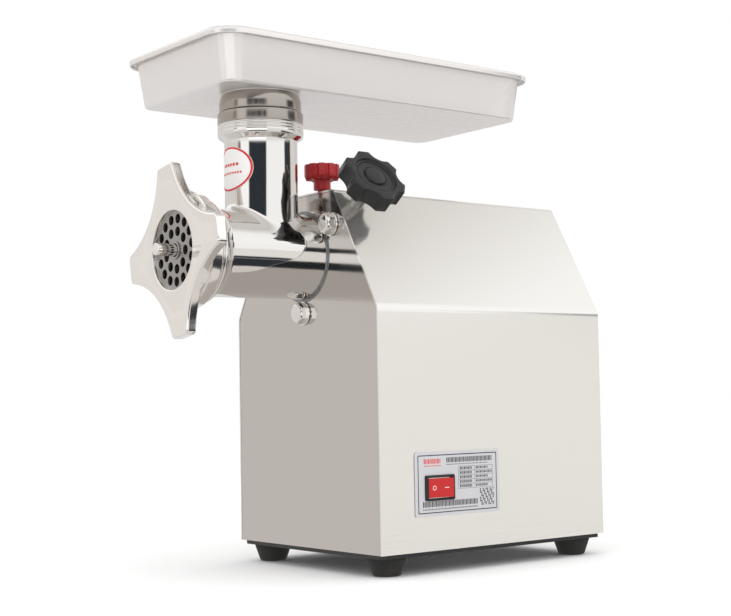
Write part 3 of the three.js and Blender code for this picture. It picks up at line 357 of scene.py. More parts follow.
casing_steel = satin_steel("satin_stainless_casing", "y", "#EAE8E4", 0.85, 0.13)
tray_steel = satin_steel("satin_stainless_tray", "y", "#E6E3E1", 0.6, 0.2)


def polished_steel(name, colour, roughness, wave):
    """Mop-polished stainless: nearly a mirror, with swells 30 mm apart and a haze of wiping marks."""
    material = new_material(name, colour, 1.0, roughness)
    haze = streaks(material, [1 / (9 * MM)] * 3, 3.0)
    feed(material, "Roughness", spread(material, haze.outputs["Fac"], roughness, roughness + 0.02))
    swell = streaks(material, [1 / (30 * MM)] * 3, 1.0)
    bump(material, swell.outputs["Fac"], wave, 1.0)
    return material


band_steel = satin_steel("satin_stainless_band", "z", "#ABA59E", 1.0, 0.17)
head_steel = polished_steel("polished_stainless_head", "#E6E4E1", 0.05, 0.12 * MM)
nut_steel = polished_steel("polished_stainless_nut", "#F5F2EF", 0.12, 0.004 * MM)
front_steel = polished_steel("polished_stainless_front", "#CCC8C5", 0.1, 0.002 * MM)


def tool_steel_finish():
    """Ground tool steel: grey, with round grinding marks a few tenths of a millimetre apart."""
    material = new_material("ground_tool_steel", "#A8A6A3", 1.0, 0.3)
    marks = streaks(material, [1 / (0.6 * MM)] * 3, 4.0)
    feed(material, "Roughness", spread(material, marks.outputs["Fac"], 0.22, 0.42))
    bump(material, marks.outputs["Fac"], 0.02 * MM, 0.4)
    return material


ground_steel = tool_steel_finish()

# %% [markdown]
# ## Castings, plastics, rubber and paint
#
# Everything else has a duller surface. A die casting has a skin of small frozen ripples, a phenolic knob is
# moulded in a lightly sandblasted mould, rubber has a matt bloom that gathers dust, and powder coat has
# the dimples called orange peel.

# %% Other finishes
def grained(name, colour, second, metallic, roughness, grain, depth, **sockets):
    """A body colour that drifts to a second one over 25 mm, over a grain of a real size and depth."""
    material = new_material(name, colour, metallic, roughness, **sockets)
    drift = streaks(material, [1 / (25 * MM)] * 3, 3.0)
    two_tone(material, drift.outputs["Fac"], colour, second)
    rough = streaks(material, [1 / grain] * 3, 3.0)
    feed(material, "Roughness", spread(material, rough.outputs["Fac"], roughness - 0.07, roughness + 0.07))
    bump(material, rough.outputs["Fac"], depth, 0.5)
    return material


cast_aluminium = grained("die_cast_aluminium", "#A9ABAD", "#96989B", 1.0, 0.48, 1.6 * MM, 0.08 * MM)
tinned_casting = grained("tinned_cast_steel", "#B4B4B4", "#8F9092", 1.0, 0.42, 1.2 * MM, 0.06 * MM)
gear_steel = grained("hobbed_gear_steel", "#8D8D90", "#7B7B7E", 1.0, 0.34, 0.8 * MM, 0.02 * MM)
copper_wire = grained("varnished_copper", "#B5683A", "#8F4A27", 0.9, 0.35, 0.9 * MM, 0.1 * MM)
black_powder = grained("black_powder_coat", "#242527", "#1D1E20", 0.0, 0.45, 0.9 * MM, 0.03 * MM)
grey_powder = grained("grey_powder_coat", "#B6B8B9", "#ACAEAF", 0.0, 0.5, 0.9 * MM, 0.03 * MM)
phenolic = grained("black_phenolic", "#1B1B1D", "#161617", 0.0, 0.36, 0.5 * MM, 0.03 * MM)
black_nylon = grained("black_nylon", "#1B1B1C", "#161617", 0.0, 0.38, 0.5 * MM, 0.02 * MM)
foot_rubber = grained("black_rubber", "#1E1E1E", "#292826", 0.0, 0.75, 0.7 * MM, 0.05 * MM)
red_plug = grained("red_polypropylene", "#B51E26", "#A3161E", 0.0, 0.4, 0.5 * MM, 0.03 * MM)
washer_nylon = grained("white_nylon", "#E6E3DC", "#DDD9D0", 0.0, 0.5, 0.6 * MM, 0.02 * MM)
rocker_red = new_material("red_polycarbonate", "#BE0B0E", 0.0, 0.3, Coat_Weight=0.15, Coat_Roughness=0.15)
mark_white = new_material("white_marking_ink", "#F3EFEA", 0.0, 0.5)
print(len(bpy.data.materials), "materials")

# %% [markdown]
# ## The casing
#
# One sheet of steel is folded over the machine: side, shoulder, ridge, shoulder, side. A press brake
# leaves a small round at each fold. The section is the CAD outline with its folds as arcs, given a
# thickness and carried from the front edge to the rear one.

# %% Body shell
SHEET = 1.5 * MM
FOLD = 4 * MM
half_width = (shell_high[0] - shell_low[0]) / 2
centre_x = (shell_high[0] + shell_low[0]) / 2


def shell_corners():
    """Foot, shoulder and ridge corners on the right, from the straight edges of the CAD shell."""
    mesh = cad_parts["body_shell"].data
    points = np.zeros(len(mesh.vertices) * 3)
    mesh.vertices.foreach_get("co", points)
    points = points.reshape(-1, 3)
    side = points[np.abs(points[:, 0] - shell_high[0]) < 0.02 * MM]
    top = points[np.abs(points[:, 2] - shell_high[2]) < 0.02 * MM]
    return [[half_width, shell_low[2]], [half_width, side[:, 2].max() + FOLD],
            [top[:, 0].max() - centre_x + FOLD, shell_high[2]]]


def house_section(inset):
    """The section moved in by an inset, with its folds as arcs."""
    (half, foot), (_, shoulder), (ridge, top) = shell_corners()
    lean = math.atan2(half - ridge, top - shoulder)
    shoulder_in = shoulder - inset * math.tan(lean / 2)
    ridge_in = ridge - inset * math.tan((math.pi / 2 - lean) / 2)
    right = [[half - inset, foot], [half - inset, shoulder_in], [ridge_in, top - inset]]
    left = [[-x, z] for x, z in reversed(right)]
    return rounded(right + left, FOLD - inset * 0.5, 6)


def casing_sheet():
    """Outside and inside sections joined at both feet into one closed loop, carried from front to rear."""
    outside, inside = house_section(0), house_section(SHEET)
    section = np.concatenate([outside, inside[::-1]])
    stations = np.linspace(shell_low[1], shell_high[1], 3)
    loops = np.zeros((len(stations), len(section), 3))
    loops[..., 0] = centre_x + section[:, 0]
    loops[..., 1] = stations[:, None]
    loops[..., 2] = section[:, 1]
    return welded_loft("casing_sheet", loops, 25)


shell = settle(casing_sheet(), "casing", ["body_shell"], casing_steel)

# %% [markdown]
# The front and rear plates sit inside the folded sheet. The front plate is bright and almost plain: a bore
# for the neck and three bolt holes. The rear plate is punched with louvres that let the fan's air out. The
# CAD plates already have true outlines, so they stay and only take a finish, as the inner pieces do.

# %% Plates, base and inner pieces that keep their shape
def finish(material, *names):
    """Gives CAD nodes a material and leaves their meshes alone."""
    for name in names:
        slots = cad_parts[name].data.materials
        slots.clear()
        slots.append(material)


finish(front_steel, "front_plate")
finish(casing_steel, "rear_plate")
finish(black_powder, "base_plate", "motor_cradle")
finish(grey_powder, "bottom_cover", "motor_housing")
finish(cast_aluminium, "gearbox_housing", "gearbox_cover", "motor_end_cap", "capacitor")
finish(gear_steel, "output_shaft", "output_gear", "layshaft", "lay_gear", "rotor_shaft", "rotor_core",
       "stator_core")
finish(ground_steel, "output_bearing_front", "output_bearing_rear", "lay_bearing_front",
       "lay_bearing_rear", "motor_bearing_front", "motor_bearing_rear", "knife", "plate_key")
finish(copper_wire, "winding_front", "winding_rear")
finish(black_nylon, "fan", "cable_gland")
finish(foot_rubber, "shaft_seal")
finish(washer_nylon, "thrust_washer")

# %% [markdown]
# ## The cast head
#
# A barrel lies along Y and a throat stands on it, with a soft fillet where they meet. The throat's skin
# is a grid of angle and height. Near its foot it flares: where the wall stands f further out, it is s
# above the barrel, with f = r (1 - sin t) and s = r (1 - cos t), so the skin leaves the barrel along its
# surface and ends upright. The barrel around the foot is a patch from the foot's edge out to a rectangle,
# and the rest is turned. All the grids share their edges, so the head is one closed skin that reflects
# without a seam.

# %% Head sizes
plate_low, plate_high = box("perforated_plate")
head_low, head_high = box("head_casting")
tray_low, tray_high = box("tray")
PLATE_R = (plate_high[0] - plate_low[0]) / 2
BORE_R = PLATE_R - 4 * MM
BARREL_R = BORE_R + 6 * MM
THREAD_R = PLATE_R + 6 * MM
FLANGE_R = THREAD_R + 2.5 * MM
JOURNAL_R = 15 * MM
THROAT_R, THROAT_BORE, COLLAR_R = 31 * MM, 27 * MM, 36.5 * MM
THROAT_Y = EDGE_Y - 41.5 * MM
COLLAR_FOOT = 100.5 * MM
COLLAR_TOP = float(head_high[2]) - AXIS_Z
NECK_END = float(head_high[1])
MOUTH_Y = float(head_low[1])
RING_LOW, RING_HIGH = box("ring_nut")
COLLAR_Y = float(RING_HIGH[1]) + 0.3 * MM
FLARE = 5 * MM
SIDE_STEPS = 32  # grid points along each side of the patch round the throat


def window_patch(radius, hole, reach, rows=14):
    """The upper half of a tube of a radius, with a round window of a hole radius, as rows of points.

    Row 0 is the window's edge and the last row is a rectangle, half the tube round and 2 x reach long.
    Points between them are blended in unrolled coordinates: angle from the top, and y."""
    turn = (np.arange(4 * SIDE_STEPS) / (4 * SIDE_STEPS) - 1 / 8) * TAU
    edge = np.stack([np.arcsin(hole * np.cos(turn) / radius), hole * np.sin(turn)], -1)
    run = np.linspace(-1, 1, SIDE_STEPS, endpoint=False)
    one = np.ones(SIDE_STEPS)
    sides = np.concatenate([np.stack([one, run], -1), np.stack([-run, one], -1),
                            np.stack([-one, -run], -1), np.stack([run, -one], -1)])
    frame_edge = sides * [math.pi / 2, reach]
    share = np.linspace(0, 1, rows)[:, None, None] ** 1.2
    angle_y = edge * (1 - share) + frame_edge * share
    return tube_points(radius, angle_y[..., 0], angle_y[..., 1] + THROAT_Y)


def tube_points(radius, angle, y):
    """Points on a tube about the barrel axis; the angle is 0 at the top and grows towards +X."""
    angle, y, radius = np.broadcast_arrays(angle, y, radius)
    return np.stack([AXIS_X + radius * np.sin(angle), y, AXIS_Z + radius * np.cos(angle)], -1)


def underside(radius, reach):
    """The lower half of the tube beside the patch, with the same steps along y."""
    angle = np.linspace(math.pi / 2, 3 * math.pi / 2, SIDE_STEPS + 1)[None, :]
    y = THROAT_Y + np.linspace(-reach, reach, SIDE_STEPS + 1)[:, None]
    return tube_points(radius, angle, y)


def full_rings(profile):
    """Rings about the barrel axis from [r, y] pairs, with the patch's steps round them."""
    profile = np.asarray(profile, float)
    angle = np.linspace(-math.pi / 2, 3 * math.pi / 2, 2 * SIDE_STEPS, endpoint=False)[None, :]
    return tube_points(profile[:, :1], angle, profile[:, 1:])


def throat_skin():
    """Flare, wall, collar with three grooves, rim and bore, down to the barrel's bore."""
    turn = (np.arange(4 * SIDE_STEPS) / (4 * SIDE_STEPS) - 1 / 8) * TAU
    swing = np.linspace(0, math.pi / 2, 10)[:, None]
    flared = THROAT_R + FLARE * (1 - np.sin(swing))
    on_barrel = np.sqrt(BARREL_R ** 2 - (flared * np.cos(turn)) ** 2)
    lower_z = on_barrel + FLARE * (1 - np.cos(swing))
    groove = 0.8 * MM
    beads = []
    for z in (COLLAR_TOP - 15.5 * MM, COLLAR_TOP - 13 * MM, COLLAR_TOP - 10.5 * MM):
        beads += [[COLLAR_R, z - 0.9 * MM], [COLLAR_R - groove, z], [COLLAR_R, z + 0.9 * MM]]
    profile = rounded([
        [THROAT_R, COLLAR_FOOT - 12 * MM], [THROAT_R, COLLAR_FOOT - 4.5 * MM],
        [COLLAR_R - 0.5 * MM, COLLAR_FOOT - 1 * MM], [COLLAR_R, COLLAR_FOOT + 1.5 * MM], *beads,
        [COLLAR_R, COLLAR_TOP], [THROAT_BORE + 3 * MM, COLLAR_TOP], [THROAT_BORE, COLLAR_TOP - 3 * MM],
        [THROAT_BORE, COLLAR_FOOT]], 0.7 * MM, 4)
    foot = np.sqrt(BORE_R ** 2 - (THROAT_BORE * np.cos(turn)) ** 2)
    radii = np.concatenate([flared + 0 * on_barrel, profile[:, :1] + 0 * turn, [THROAT_BORE + 0 * turn]])
    heights = np.concatenate([lower_z, profile[:, 1:] + 0 * turn, [foot]])
    return np.stack([AXIS_X + radii * np.cos(turn), THROAT_Y + radii * np.sin(turn), AXIS_Z + heights], -1)


def head_casting():
    """All the head's grids, welded along their shared edges."""
    outer_reach, inner_reach = 37.2 * MM, 29 * MM
    front, rear = THROAT_Y - outer_reach, THROAT_Y + outer_reach
    nose = rounded([
        [BARREL_R, front], [BARREL_R, COLLAR_Y + 15 * MM], [BARREL_R + 1.5 * MM, COLLAR_Y + 11 * MM],
        [FLANGE_R, COLLAR_Y + 6 * MM], [FLANGE_R, COLLAR_Y + 4.2 * MM],
        [FLANGE_R - 1.6 * MM, COLLAR_Y + 3 * MM], [FLANGE_R, COLLAR_Y + 1.8 * MM], [FLANGE_R, COLLAR_Y],
        [THREAD_R, COLLAR_Y], [THREAD_R, MOUTH_Y], [PLATE_R + 0.3 * MM, MOUTH_Y],
        [PLATE_R + 0.3 * MM, plate_high[1] + 0.3 * MM], [BORE_R, plate_high[1] + 0.3 * MM],
        [BORE_R, THROAT_Y - inner_reach]], 1.0 * MM, 4)
    tail = rounded([
        [BORE_R, THROAT_Y + inner_reach], [BORE_R, EDGE_Y - 0.15 * MM],
        [JOURNAL_R + 0.4 * MM, EDGE_Y - 0.15 * MM],
        [JOURNAL_R + 0.4 * MM, NECK_END], [BARREL_R, NECK_END], [BARREL_R, rear]], 1.0 * MM, 4)
    grids = [
        (throat_skin(), True), (window_patch(BARREL_R, THROAT_R + FLARE, outer_reach), True),
        (window_patch(BORE_R, THROAT_BORE, inner_reach), True), (underside(BARREL_R, outer_reach), False),
        (underside(BORE_R, inner_reach), False), (full_rings(nose), True), (full_rings(tail), True)]
    points, faces = [], []
    for grid, closed in grids:
        rows, count = grid.shape[:2]
        first = sum(len(p) for p in points)
        quads = skin_faces(rows, count, False, first)
        if not closed:
            quads = [quad for i, quad in enumerate(quads) if i % count != count - 1]
        points.append(grid.reshape(-1, 3))
        faces.extend(quads)
    mesh = bpy.data.meshes.new("head")
    mesh.from_pydata(np.concatenate(points).tolist(), [], faces)
    return weld("polished_head", mesh, 40)


def band(piece, material, low, high, within):
    """Gives the faces between two heights, and within a radius of the throat's axis, a second finish."""
    piece.data.materials.append(material)
    centres = np.zeros(len(piece.data.polygons) * 3)
    piece.data.polygons.foreach_get("center", centres)
    centres = centres.reshape(-1, 3)
    away = np.hypot(centres[:, 0] - AXIS_X, centres[:, 1] - THROAT_Y)
    picked = (centres[:, 2] > low) & (centres[:, 2] < high) & (away < within)
    piece.data.polygons.foreach_set("material_index", picked.astype(int))


head = settle(head_casting(), "head", ["head_casting"], head_steel)
band(head, band_steel, AXIS_Z + COLLAR_TOP - 10 * MM, 1, COLLAR_R + 1 * MM)

# %% [markdown]
# ## Ring nut, plate and stud
#
# The nut is a four-pointed star that a hand can grip, with a threaded skirt behind it. Its outline is
# flat lobe ends, small corner curves and hollow arcs. Every loop of its skin uses the same angles, so
# the face, the rounded edge, the back and the skirt are one ring of loops: r is the star's outline, a
# circle, or the larger of both.

# %% Ring nut
def lobed_outline(count, reach, half, waist, corner, turn):
    """Lobes with flat ends of a half width, small corner curves, and circular hollows down to a waist.

    A hollow's circle passes the lobe's corner P and the waist w on the bisector b, so its centre lies at
    (P.P - w w) / (2 (P.b - w)) along b."""
    step = TAU / count
    tip = np.array([reach, half])
    bisector = np.array([math.cos(step / 2), math.sin(step / 2)])
    away = (tip @ tip - waist ** 2) / (2 * (tip @ bisector - waist))
    hollow, centre = away - waist, away * bisector
    begin = math.atan2(*(tip - centre)[::-1]) % TAU
    middle_angle = step / 2 + math.pi
    trim = corner / hollow
    arc = np.linspace(begin - trim, 2 * middle_angle - begin + trim, 22)
    arc_points = centre + hollow * np.stack([np.cos(arc), np.sin(arc)], -1)
    bend = np.linspace(0, 1, 6)[:, None]
    shoulder = np.array([reach, half - min(corner, 0.8 * half)])
    first = (1 - bend) ** 2 * shoulder + 2 * bend * (1 - bend) * tip + bend ** 2 * arc_points[0]
    lead = np.stack([np.full(3, reach), np.linspace(0, shoulder[1], 4)[:-1]], -1)
    half_side = np.concatenate([lead, first])
    mirror = np.array([[math.cos(step), math.sin(step)], [math.sin(step), -math.cos(step)]])
    other = (half_side @ mirror)[::-1]
    side = np.concatenate([half_side, arc_points[1:-1], other[:-1]])
    turns = [side @ np.array([[math.cos(a), math.sin(a)], [-math.sin(a), math.cos(a)]])
             for a in np.arange(count) * step + turn]
    return np.concatenate(turns)


def round_loop(radius, angles):
    """A circle at the same angles as another loop, so that the two can be neighbours in a stack."""
    return np.stack([radius * np.cos(angles), radius * np.sin(angles)], -1)


def inset_outline(points, inset):
    """Moves a closed outline inwards along its normals."""
    along = np.roll(points, -1, 0) - np.roll(points, 1, 0)
    normal = np.stack([along[:, 1], -along[:, 0]], -1) / np.linalg.norm(along, axis=1)[:, None]
    return points - normal * inset


def ring_nut():
    """Mouth, face, rounded edge, back, skirt and thread as one closed ring of loops."""
    face = float(RING_LOW[1])
    back, skirt_end = face + 9 * MM, float(RING_HIGH[1])
    star = lobed_outline(4, 72 * MM, 12 * MM, 46.5 * MM, 4 * MM, math.radians(9))
    angle = np.arctan2(star[:, 1], star[:, 0])
    mouth, skirt = PLATE_R - 2.5 * MM, THREAD_R + 7 * MM
    thread = THREAD_R + 0.4 * MM

    def ring(radius):
        return round_loop(radius, angle)

    def outside(inset):
        outline = inset_outline(star, inset)
        radius = np.linalg.norm(outline, axis=1)
        scale = np.maximum(radius, skirt) / radius
        return outline * scale[:, None]

    edge = 1.6 * MM
    bends = np.linspace(0, math.pi / 2, 6)
    loops = [(ring(mouth), plate_low[1] + 1.2 * MM), (ring(mouth), face + 0.8 * MM),
             (ring(mouth + 0.25 * MM), face + 0.25 * MM), (ring(mouth + 0.8 * MM), face)]
    loops += [(inset_outline(star, edge * (1 - math.sin(b))), face + edge * (1 - math.cos(b))) for b in bends]
    loops += [(inset_outline(star, 0), face + 2.6 * MM), (outside(0), face + 4 * MM)]
    loops += [(outside(edge * (1 - math.cos(b))), back - edge * (1 - math.sin(b))) for b in bends]
    loops += [(outside(6 * MM), back + 0.8 * MM), (ring(skirt + 1.5 * MM), back + 1.2 * MM),
              (ring(skirt), back + 2.5 * MM)]
    lip = 2 * MM
    loops += [(ring(skirt - lip * (1 - math.cos(b))), skirt_end - lip * (1 - math.sin(b))) for b in bends]
    loops += [(ring(thread + 0.8 * MM), skirt_end), (ring(thread), skirt_end - 0.8 * MM),
              (ring(thread), plate_low[1] + 1.2 * MM)]
    points = np.array([np.column_stack([AXIS_X + p[:, 0], np.full(len(p), y), AXIS_Z + p[:, 1]])
                       for p, y in loops])
    return welded_loft("star_nut", points, 40, ring=True)


settle(ring_nut(), "ring_nut", ["ring_nut"], nut_steel)

# %% [markdown]
# The plate is a hardened disc with two circles of drilled holes round a small boss. It is flat, so it is
# cut from an outline with holes. The stud is turned, with a chamfered end.

# %% Plate and stud
HOLE_R = 4 * MM


def perforated_plate():
    """A disc of radius R with 15 holes on its outer circle, 9 on its inner one and one for the stud."""
    outer = PLATE_R - 5.2 * MM - HOLE_R
    rows = [(outer, 15, 9), (outer - 10.3 * MM, 9, -3)]
    outlines = [disc_outline(0, 0, PLATE_R, 96), disc_outline(0, 0, 5.5 * MM, 32)]
    for radius, count, first in rows:
        for i in range(count):
            angle = math.radians(first + 360 * i / count)
            outlines.append(disc_outline(radius * math.cos(angle), radius * math.sin(angle), HOLE_R, 24))
    front = plate_low[1] + 1.2 * MM
    disc = flat_piece("perforated_disc", outlines, plate_high[1] - front, 0.25 * MM, 2)
    return stand(disc, (1, 0, 0), (0, 0, 1), (AXIS_X, plate_high[1], AXIS_Z))


settle(perforated_plate(), "head", ["perforated_plate"], ground_steel)
boss_front = plate_low[1]
boss_profile = np.array([[5.5, 1.3], [7.4, 1.3], [7.4, 0], [5.5, 0], [5.5, 1.3]]) * MM
boss = turned("plate_boss", rounded(boss_profile, 0.5 * MM)[:-1], (AXIS_X, boss_front, AXIS_Z), "y", 48,
              ring=True)
settle(weld("plate_boss_ring", boss.data), "head", [], ground_steel)
bpy.data.objects.remove(boss)

stud_low, stud_high = box("auger_stud")
stud_r = (stud_high[0] - stud_low[0]) / 2
stud_length = stud_high[1] - stud_low[1]
settle(turned("auger_stud_pin", rounded([
    [0, 0], [stud_r, 0], [stud_r, stud_length - 18.2 * MM], [stud_r - 1 * MM, stud_length - 18 * MM],
    [stud_r - 1 * MM, stud_length], [0, stud_length]], 1.0 * MM), (AXIS_X, stud_low[1], AXIS_Z), "y", 48),
    "auger", ["auger_stud"], nut_steel)

# %% [markdown]
# ## The auger
#
# A screw is a section that turns as it travels. At each y the radius is the core plus the flight where
# the angle, less its share of the pitch, lies within the flight. The knife's square, the flange, the
# journal and the drive tang follow on the same angles: a square has r = half / max(|cos|, |sin|).

# %% Auger
auger_low, auger_high = box("auger")


def square_radius(half, angles):
    """A square about the axis in polar form."""
    return half / np.maximum(np.abs(np.cos(angles)), np.abs(np.sin(angles)))


def auger_screw():
    """Square nose, flight, flange, journal and tang as one stack of loops along y."""
    angles = circle(96)
    flight_start = auger_low[1] + 9 * MM
    flange = EDGE_Y - 2.6 * MM
    rows = np.arange(flight_start, flange - 4 * MM, 1.5 * MM)
    phase = angles[None, :] - TAU * (rows[:, None] - flight_start) / (46 * MM)
    away = np.abs((phase + math.pi) % TAU - math.pi)
    lift = np.clip((math.radians(44) - away) / math.radians(24), 0, 1)
    lift = lift * lift * (3 - 2 * lift)
    radius = 12 * MM + (29.6 * MM - 12 * MM) * lift
    nose = square_radius(5.6 * MM, angles)
    tang = square_radius(7 * MM, angles)
    flat = np.ones_like(angles)
    before = [(nose * 0.9, auger_low[1]), (nose, auger_low[1] + 0.8 * MM), (nose, flight_start - 0.4 * MM)]
    after = [(24 * MM * flat, flange - 3 * MM), (24 * MM * flat, flange - 0.4 * MM),
             (23.6 * MM * flat, flange), (JOURNAL_R * flat, flange), (JOURNAL_R * flat, NECK_END - 0.5 * MM),
             (JOURNAL_R * flat - 0.5 * MM, NECK_END), (tang, NECK_END + 0.1 * MM),
             (tang, auger_high[1] - 1 * MM), (tang * 0.87, auger_high[1])]
    radii = np.concatenate([[r for r, _ in before], radius, [r for r, _ in after]])
    heights = np.concatenate([[y for _, y in before], rows, [y for _, y in after]])
    x = AXIS_X + radii * np.cos(angles)
    z = AXIS_Z + radii * np.sin(angles)
    points = np.stack([x, np.broadcast_to(heights[:, None], x.shape), z], -1)
    return welded_loft("auger_screw", points, 40)


settle(auger_screw(), "auger", ["auger"], tinned_casting)

# %% [markdown]
# ## The meat tray
#
# The tray is one pressed sheet: a flat floor, leaning walls and a rim that is turned out and down. Its
# neck drops into the throat. Every loop of the skin is given in polar form about the throat's axis, so a
# round loop at the hole can grow into a rectangle at the walls: r(angle) of a rounded rectangle is read
# off its outline. The angles are an even set plus those that fall in the corners.

# %% Tray
def rectangle_radius(inset, corner, angles):
    """Distance from the throat's axis to the tray's outline, moved in by an inset, at each angle."""
    size = (tray_high - tray_low)[:2] - 2 * inset
    centre = (tray_high + tray_low)[:2] / 2 - [AXIS_X, THROAT_Y]
    outline = rectangle_outline(*size, max(corner - inset, 2 * MM), *centre, steps=24)
    dense = []
    for a, b in zip(outline, np.roll(outline, -1, 0)):
        count = max(2, int(np.linalg.norm(b - a) / (4 * MM)))
        dense.append(a + (b - a) * np.linspace(0, 1, count, endpoint=False)[:, None])
    dense = np.concatenate(dense)
    turn = np.arctan2(dense[:, 1], dense[:, 0]) % TAU
    order = np.argsort(turn)
    return np.interp(angles, turn[order], np.linalg.norm(dense, axis=1)[order], period=TAU)


def tray_angles():
    """Even angles about the throat, and the directions of the points in the four corners."""
    size, centre = (tray_high - tray_low)[:2], (tray_high + tray_low)[:2] / 2 - [AXIS_X, THROAT_Y]
    corners = np.concatenate([rectangle_outline(*(size - 2 * i), 26 * MM - i, *centre, steps=8)
                              for i in (0, 16 * MM)])
    turn = np.arctan2(corners[:, 1], corners[:, 0]) % TAU
    merged = np.sort(np.concatenate([circle(120), turn]))
    return merged[np.append(np.diff(merged) > math.radians(0.12), True)]


def meat_tray():
    """Neck outside, underside, wall, turned rim, inside wall, floor and bore as one closed ring."""
    angles = tray_angles()
    seat = AXIS_Z + COLLAR_TOP + 0.3 * MM
    floor = float(tray_high[2]) - 43 * MM
    spigot = THROAT_BORE - 0.4 * MM
    bore = spigot - SHEET
    neck = rounded([
        [bore + 0.4 * MM, float(tray_low[2])], [spigot, float(tray_low[2]) + 0.6 * MM], [spigot, seat],
        [34 * MM, seat], [35 * MM, seat + 1 * MM], [35 * MM, floor - 8 * MM], [34.2 * MM, floor - 3 * MM],
        [32.8 * MM, floor], [33.6 * MM, floor]], 2.2 * MM, 5)
    wall = rounded(np.array([
        [17.5, 0], [13.2, 0], [6.4, 41.5], [1.3, 41.5], [1.3, 37], [0, 37], [0, 43], [8.2, 43], [14.8, 1.5],
        [17.5, 1.5]]) * MM, 3 * MM, 6)
    loops = [(np.full(len(angles), r), z) for r, z in neck]
    outline = {}
    for inset, z in wall:
        key = round(inset, 6)
        if key not in outline:
            outline[key] = rectangle_radius(inset, 26 * MM, angles)
        loops.append((outline[key], floor + z))
    hole = rounded([[bore + 6 * MM, floor + SHEET], [bore, floor + SHEET],
                    [bore, float(tray_low[2]) + 0.4 * MM]], 1.2 * MM, 4)
    loops += [(np.full(len(angles), r), z) for r, z in hole]
    points = np.array([np.column_stack([AXIS_X + r * np.cos(angles), THROAT_Y + r * np.sin(angles),
                                        np.full(len(angles), z)]) for r, z in loops])
    return welded_loft("meat_tray", points, ring=True)


tray = settle(meat_tray(), "tray", ["tray"], tray_steel)
band(tray, band_steel, 0, AXIS_Z + COLLAR_TOP + 15.6 * MM, 36 * MM)

# %% [markdown]
# ## Clamp knob and bolt
#
# The knob is moulded with six lobes for the fingers, a dished face and a low boss. The same outline
# formula as the ring nut's serves for any number of lobes. The pieces are made about Z and then turned
# to the clamp's axis, which is 37 degrees above +X.

# %% Clamp
CLAMP_ANGLE = math.radians(37)
CLAMP_Y = EDGE_Y + 18 * MM


def onto_clamp_axis(piece):
    """Turns a mesh made about Z to the clamp's axis through the barrel axis."""
    turn = Matrix.Rotation(math.pi / 2 - CLAMP_ANGLE, 4, "Y")
    piece.data.transform(Matrix.Translation((AXIS_X, CLAMP_Y, AXIS_Z)) @ turn)
    return piece


def along_clamp(node_name):
    """Nearest and farthest reach of a node along the clamp's axis, from the barrel axis."""
    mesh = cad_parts[node_name].data
    points = np.zeros(len(mesh.vertices) * 3)
    mesh.vertices.foreach_get("co", points)
    points = points.reshape(-1, 3) - [AXIS_X, CLAMP_Y, AXIS_Z]
    reach = points @ [math.cos(CLAMP_ANGLE), 0, math.sin(CLAMP_ANGLE)]
    return float(reach.min()), float(reach.max())


def clamp_knob():
    """Hub, back, lobed side with round edges, face ring, dish and boss as one stack."""
    hub, face = along_clamp("clamp_knob")
    back = hub + 5 * MM
    lobes = lobed_outline(6, 28 * MM, 5.6 * MM, 23.2 * MM, 1.5 * MM, 0)
    angle = np.arctan2(lobes[:, 1], lobes[:, 0])

    def ring(radius):
        return round_loop(radius, angle)

    bends = np.linspace(0, math.pi / 2, 5)
    edge = 1.1 * MM
    loops = [(ring(0.01 * MM), hub + 1 * MM), (ring(6.4 * MM), hub + 1 * MM), (ring(6.4 * MM), hub),
             (ring(11 * MM), hub), (ring(12 * MM), hub + 1 * MM), (ring(12 * MM), back)]
    for bend in bends:
        loops.append((inset_outline(lobes, edge * (1 - math.sin(bend))), back + edge * (1 - math.cos(bend))))
    for bend in bends:
        loops.append((inset_outline(lobes, edge * (1 - math.cos(bend))), face - edge * (1 - math.sin(bend))))
    dish = rounded(np.array([
        [21.2, 0], [19.8, 0], [18.7, -2.4], [16.8, -2.4], [16.1, -1.9], [11, -1.9], [10.4, -2.6], [9.8, -2.6],
        [9.2, -0.6], [5, -0.2], [0.01, -0.15]]) * MM, 0.8 * MM, 3)
    loops += [(ring(r), face + z) for r, z in dish]
    points = np.array([np.column_stack([p, np.full(len(p), z)]) for p, z in loops])
    return onto_clamp_axis(loft("lobed_knob", points))


def threaded_bar(name, radius, start, end, pitch, depth):
    """A bar with a helical groove: r falls by the depth where h / pitch - angle / turn is half way."""
    angles = circle(48)
    heights = np.arange(start, end, pitch / 6)
    phase = (heights[:, None] / pitch - angles[None, :] / TAU) % 1
    radii = radius - depth * (1 - np.abs(2 * phase - 1))
    ease = np.minimum(1, np.minimum(heights - start, end - heights) / pitch)[:, None]
    radii = radii - (1 - np.maximum(ease, 0)) * 0.8 * MM
    return loft(name, stack(radii, heights, angles), sharp=60)


settle(clamp_knob(), "clamp", ["clamp_knob"], phenolic)
bolt_near, bolt_far = along_clamp("clamp_bolt")
settle(onto_clamp_axis(threaded_bar("clamp_screw", 6 * MM, bolt_near, bolt_far, 1.75 * MM, 0.7 * MM)),
       "clamp", ["clamp_bolt"], ground_steel)

# %% [markdown]
# ## Oil plug
#
# A red moulded plug stands on the ridge above the gearbox: a fluted head that tapers underneath, a hub
# and a neck that goes through the sheet.

# %% Oil plug
plug_low, plug_high = box("oil_plug")
plug_x, plug_y = float(middle("oil_plug")[0]), float(middle("oil_plug")[1])


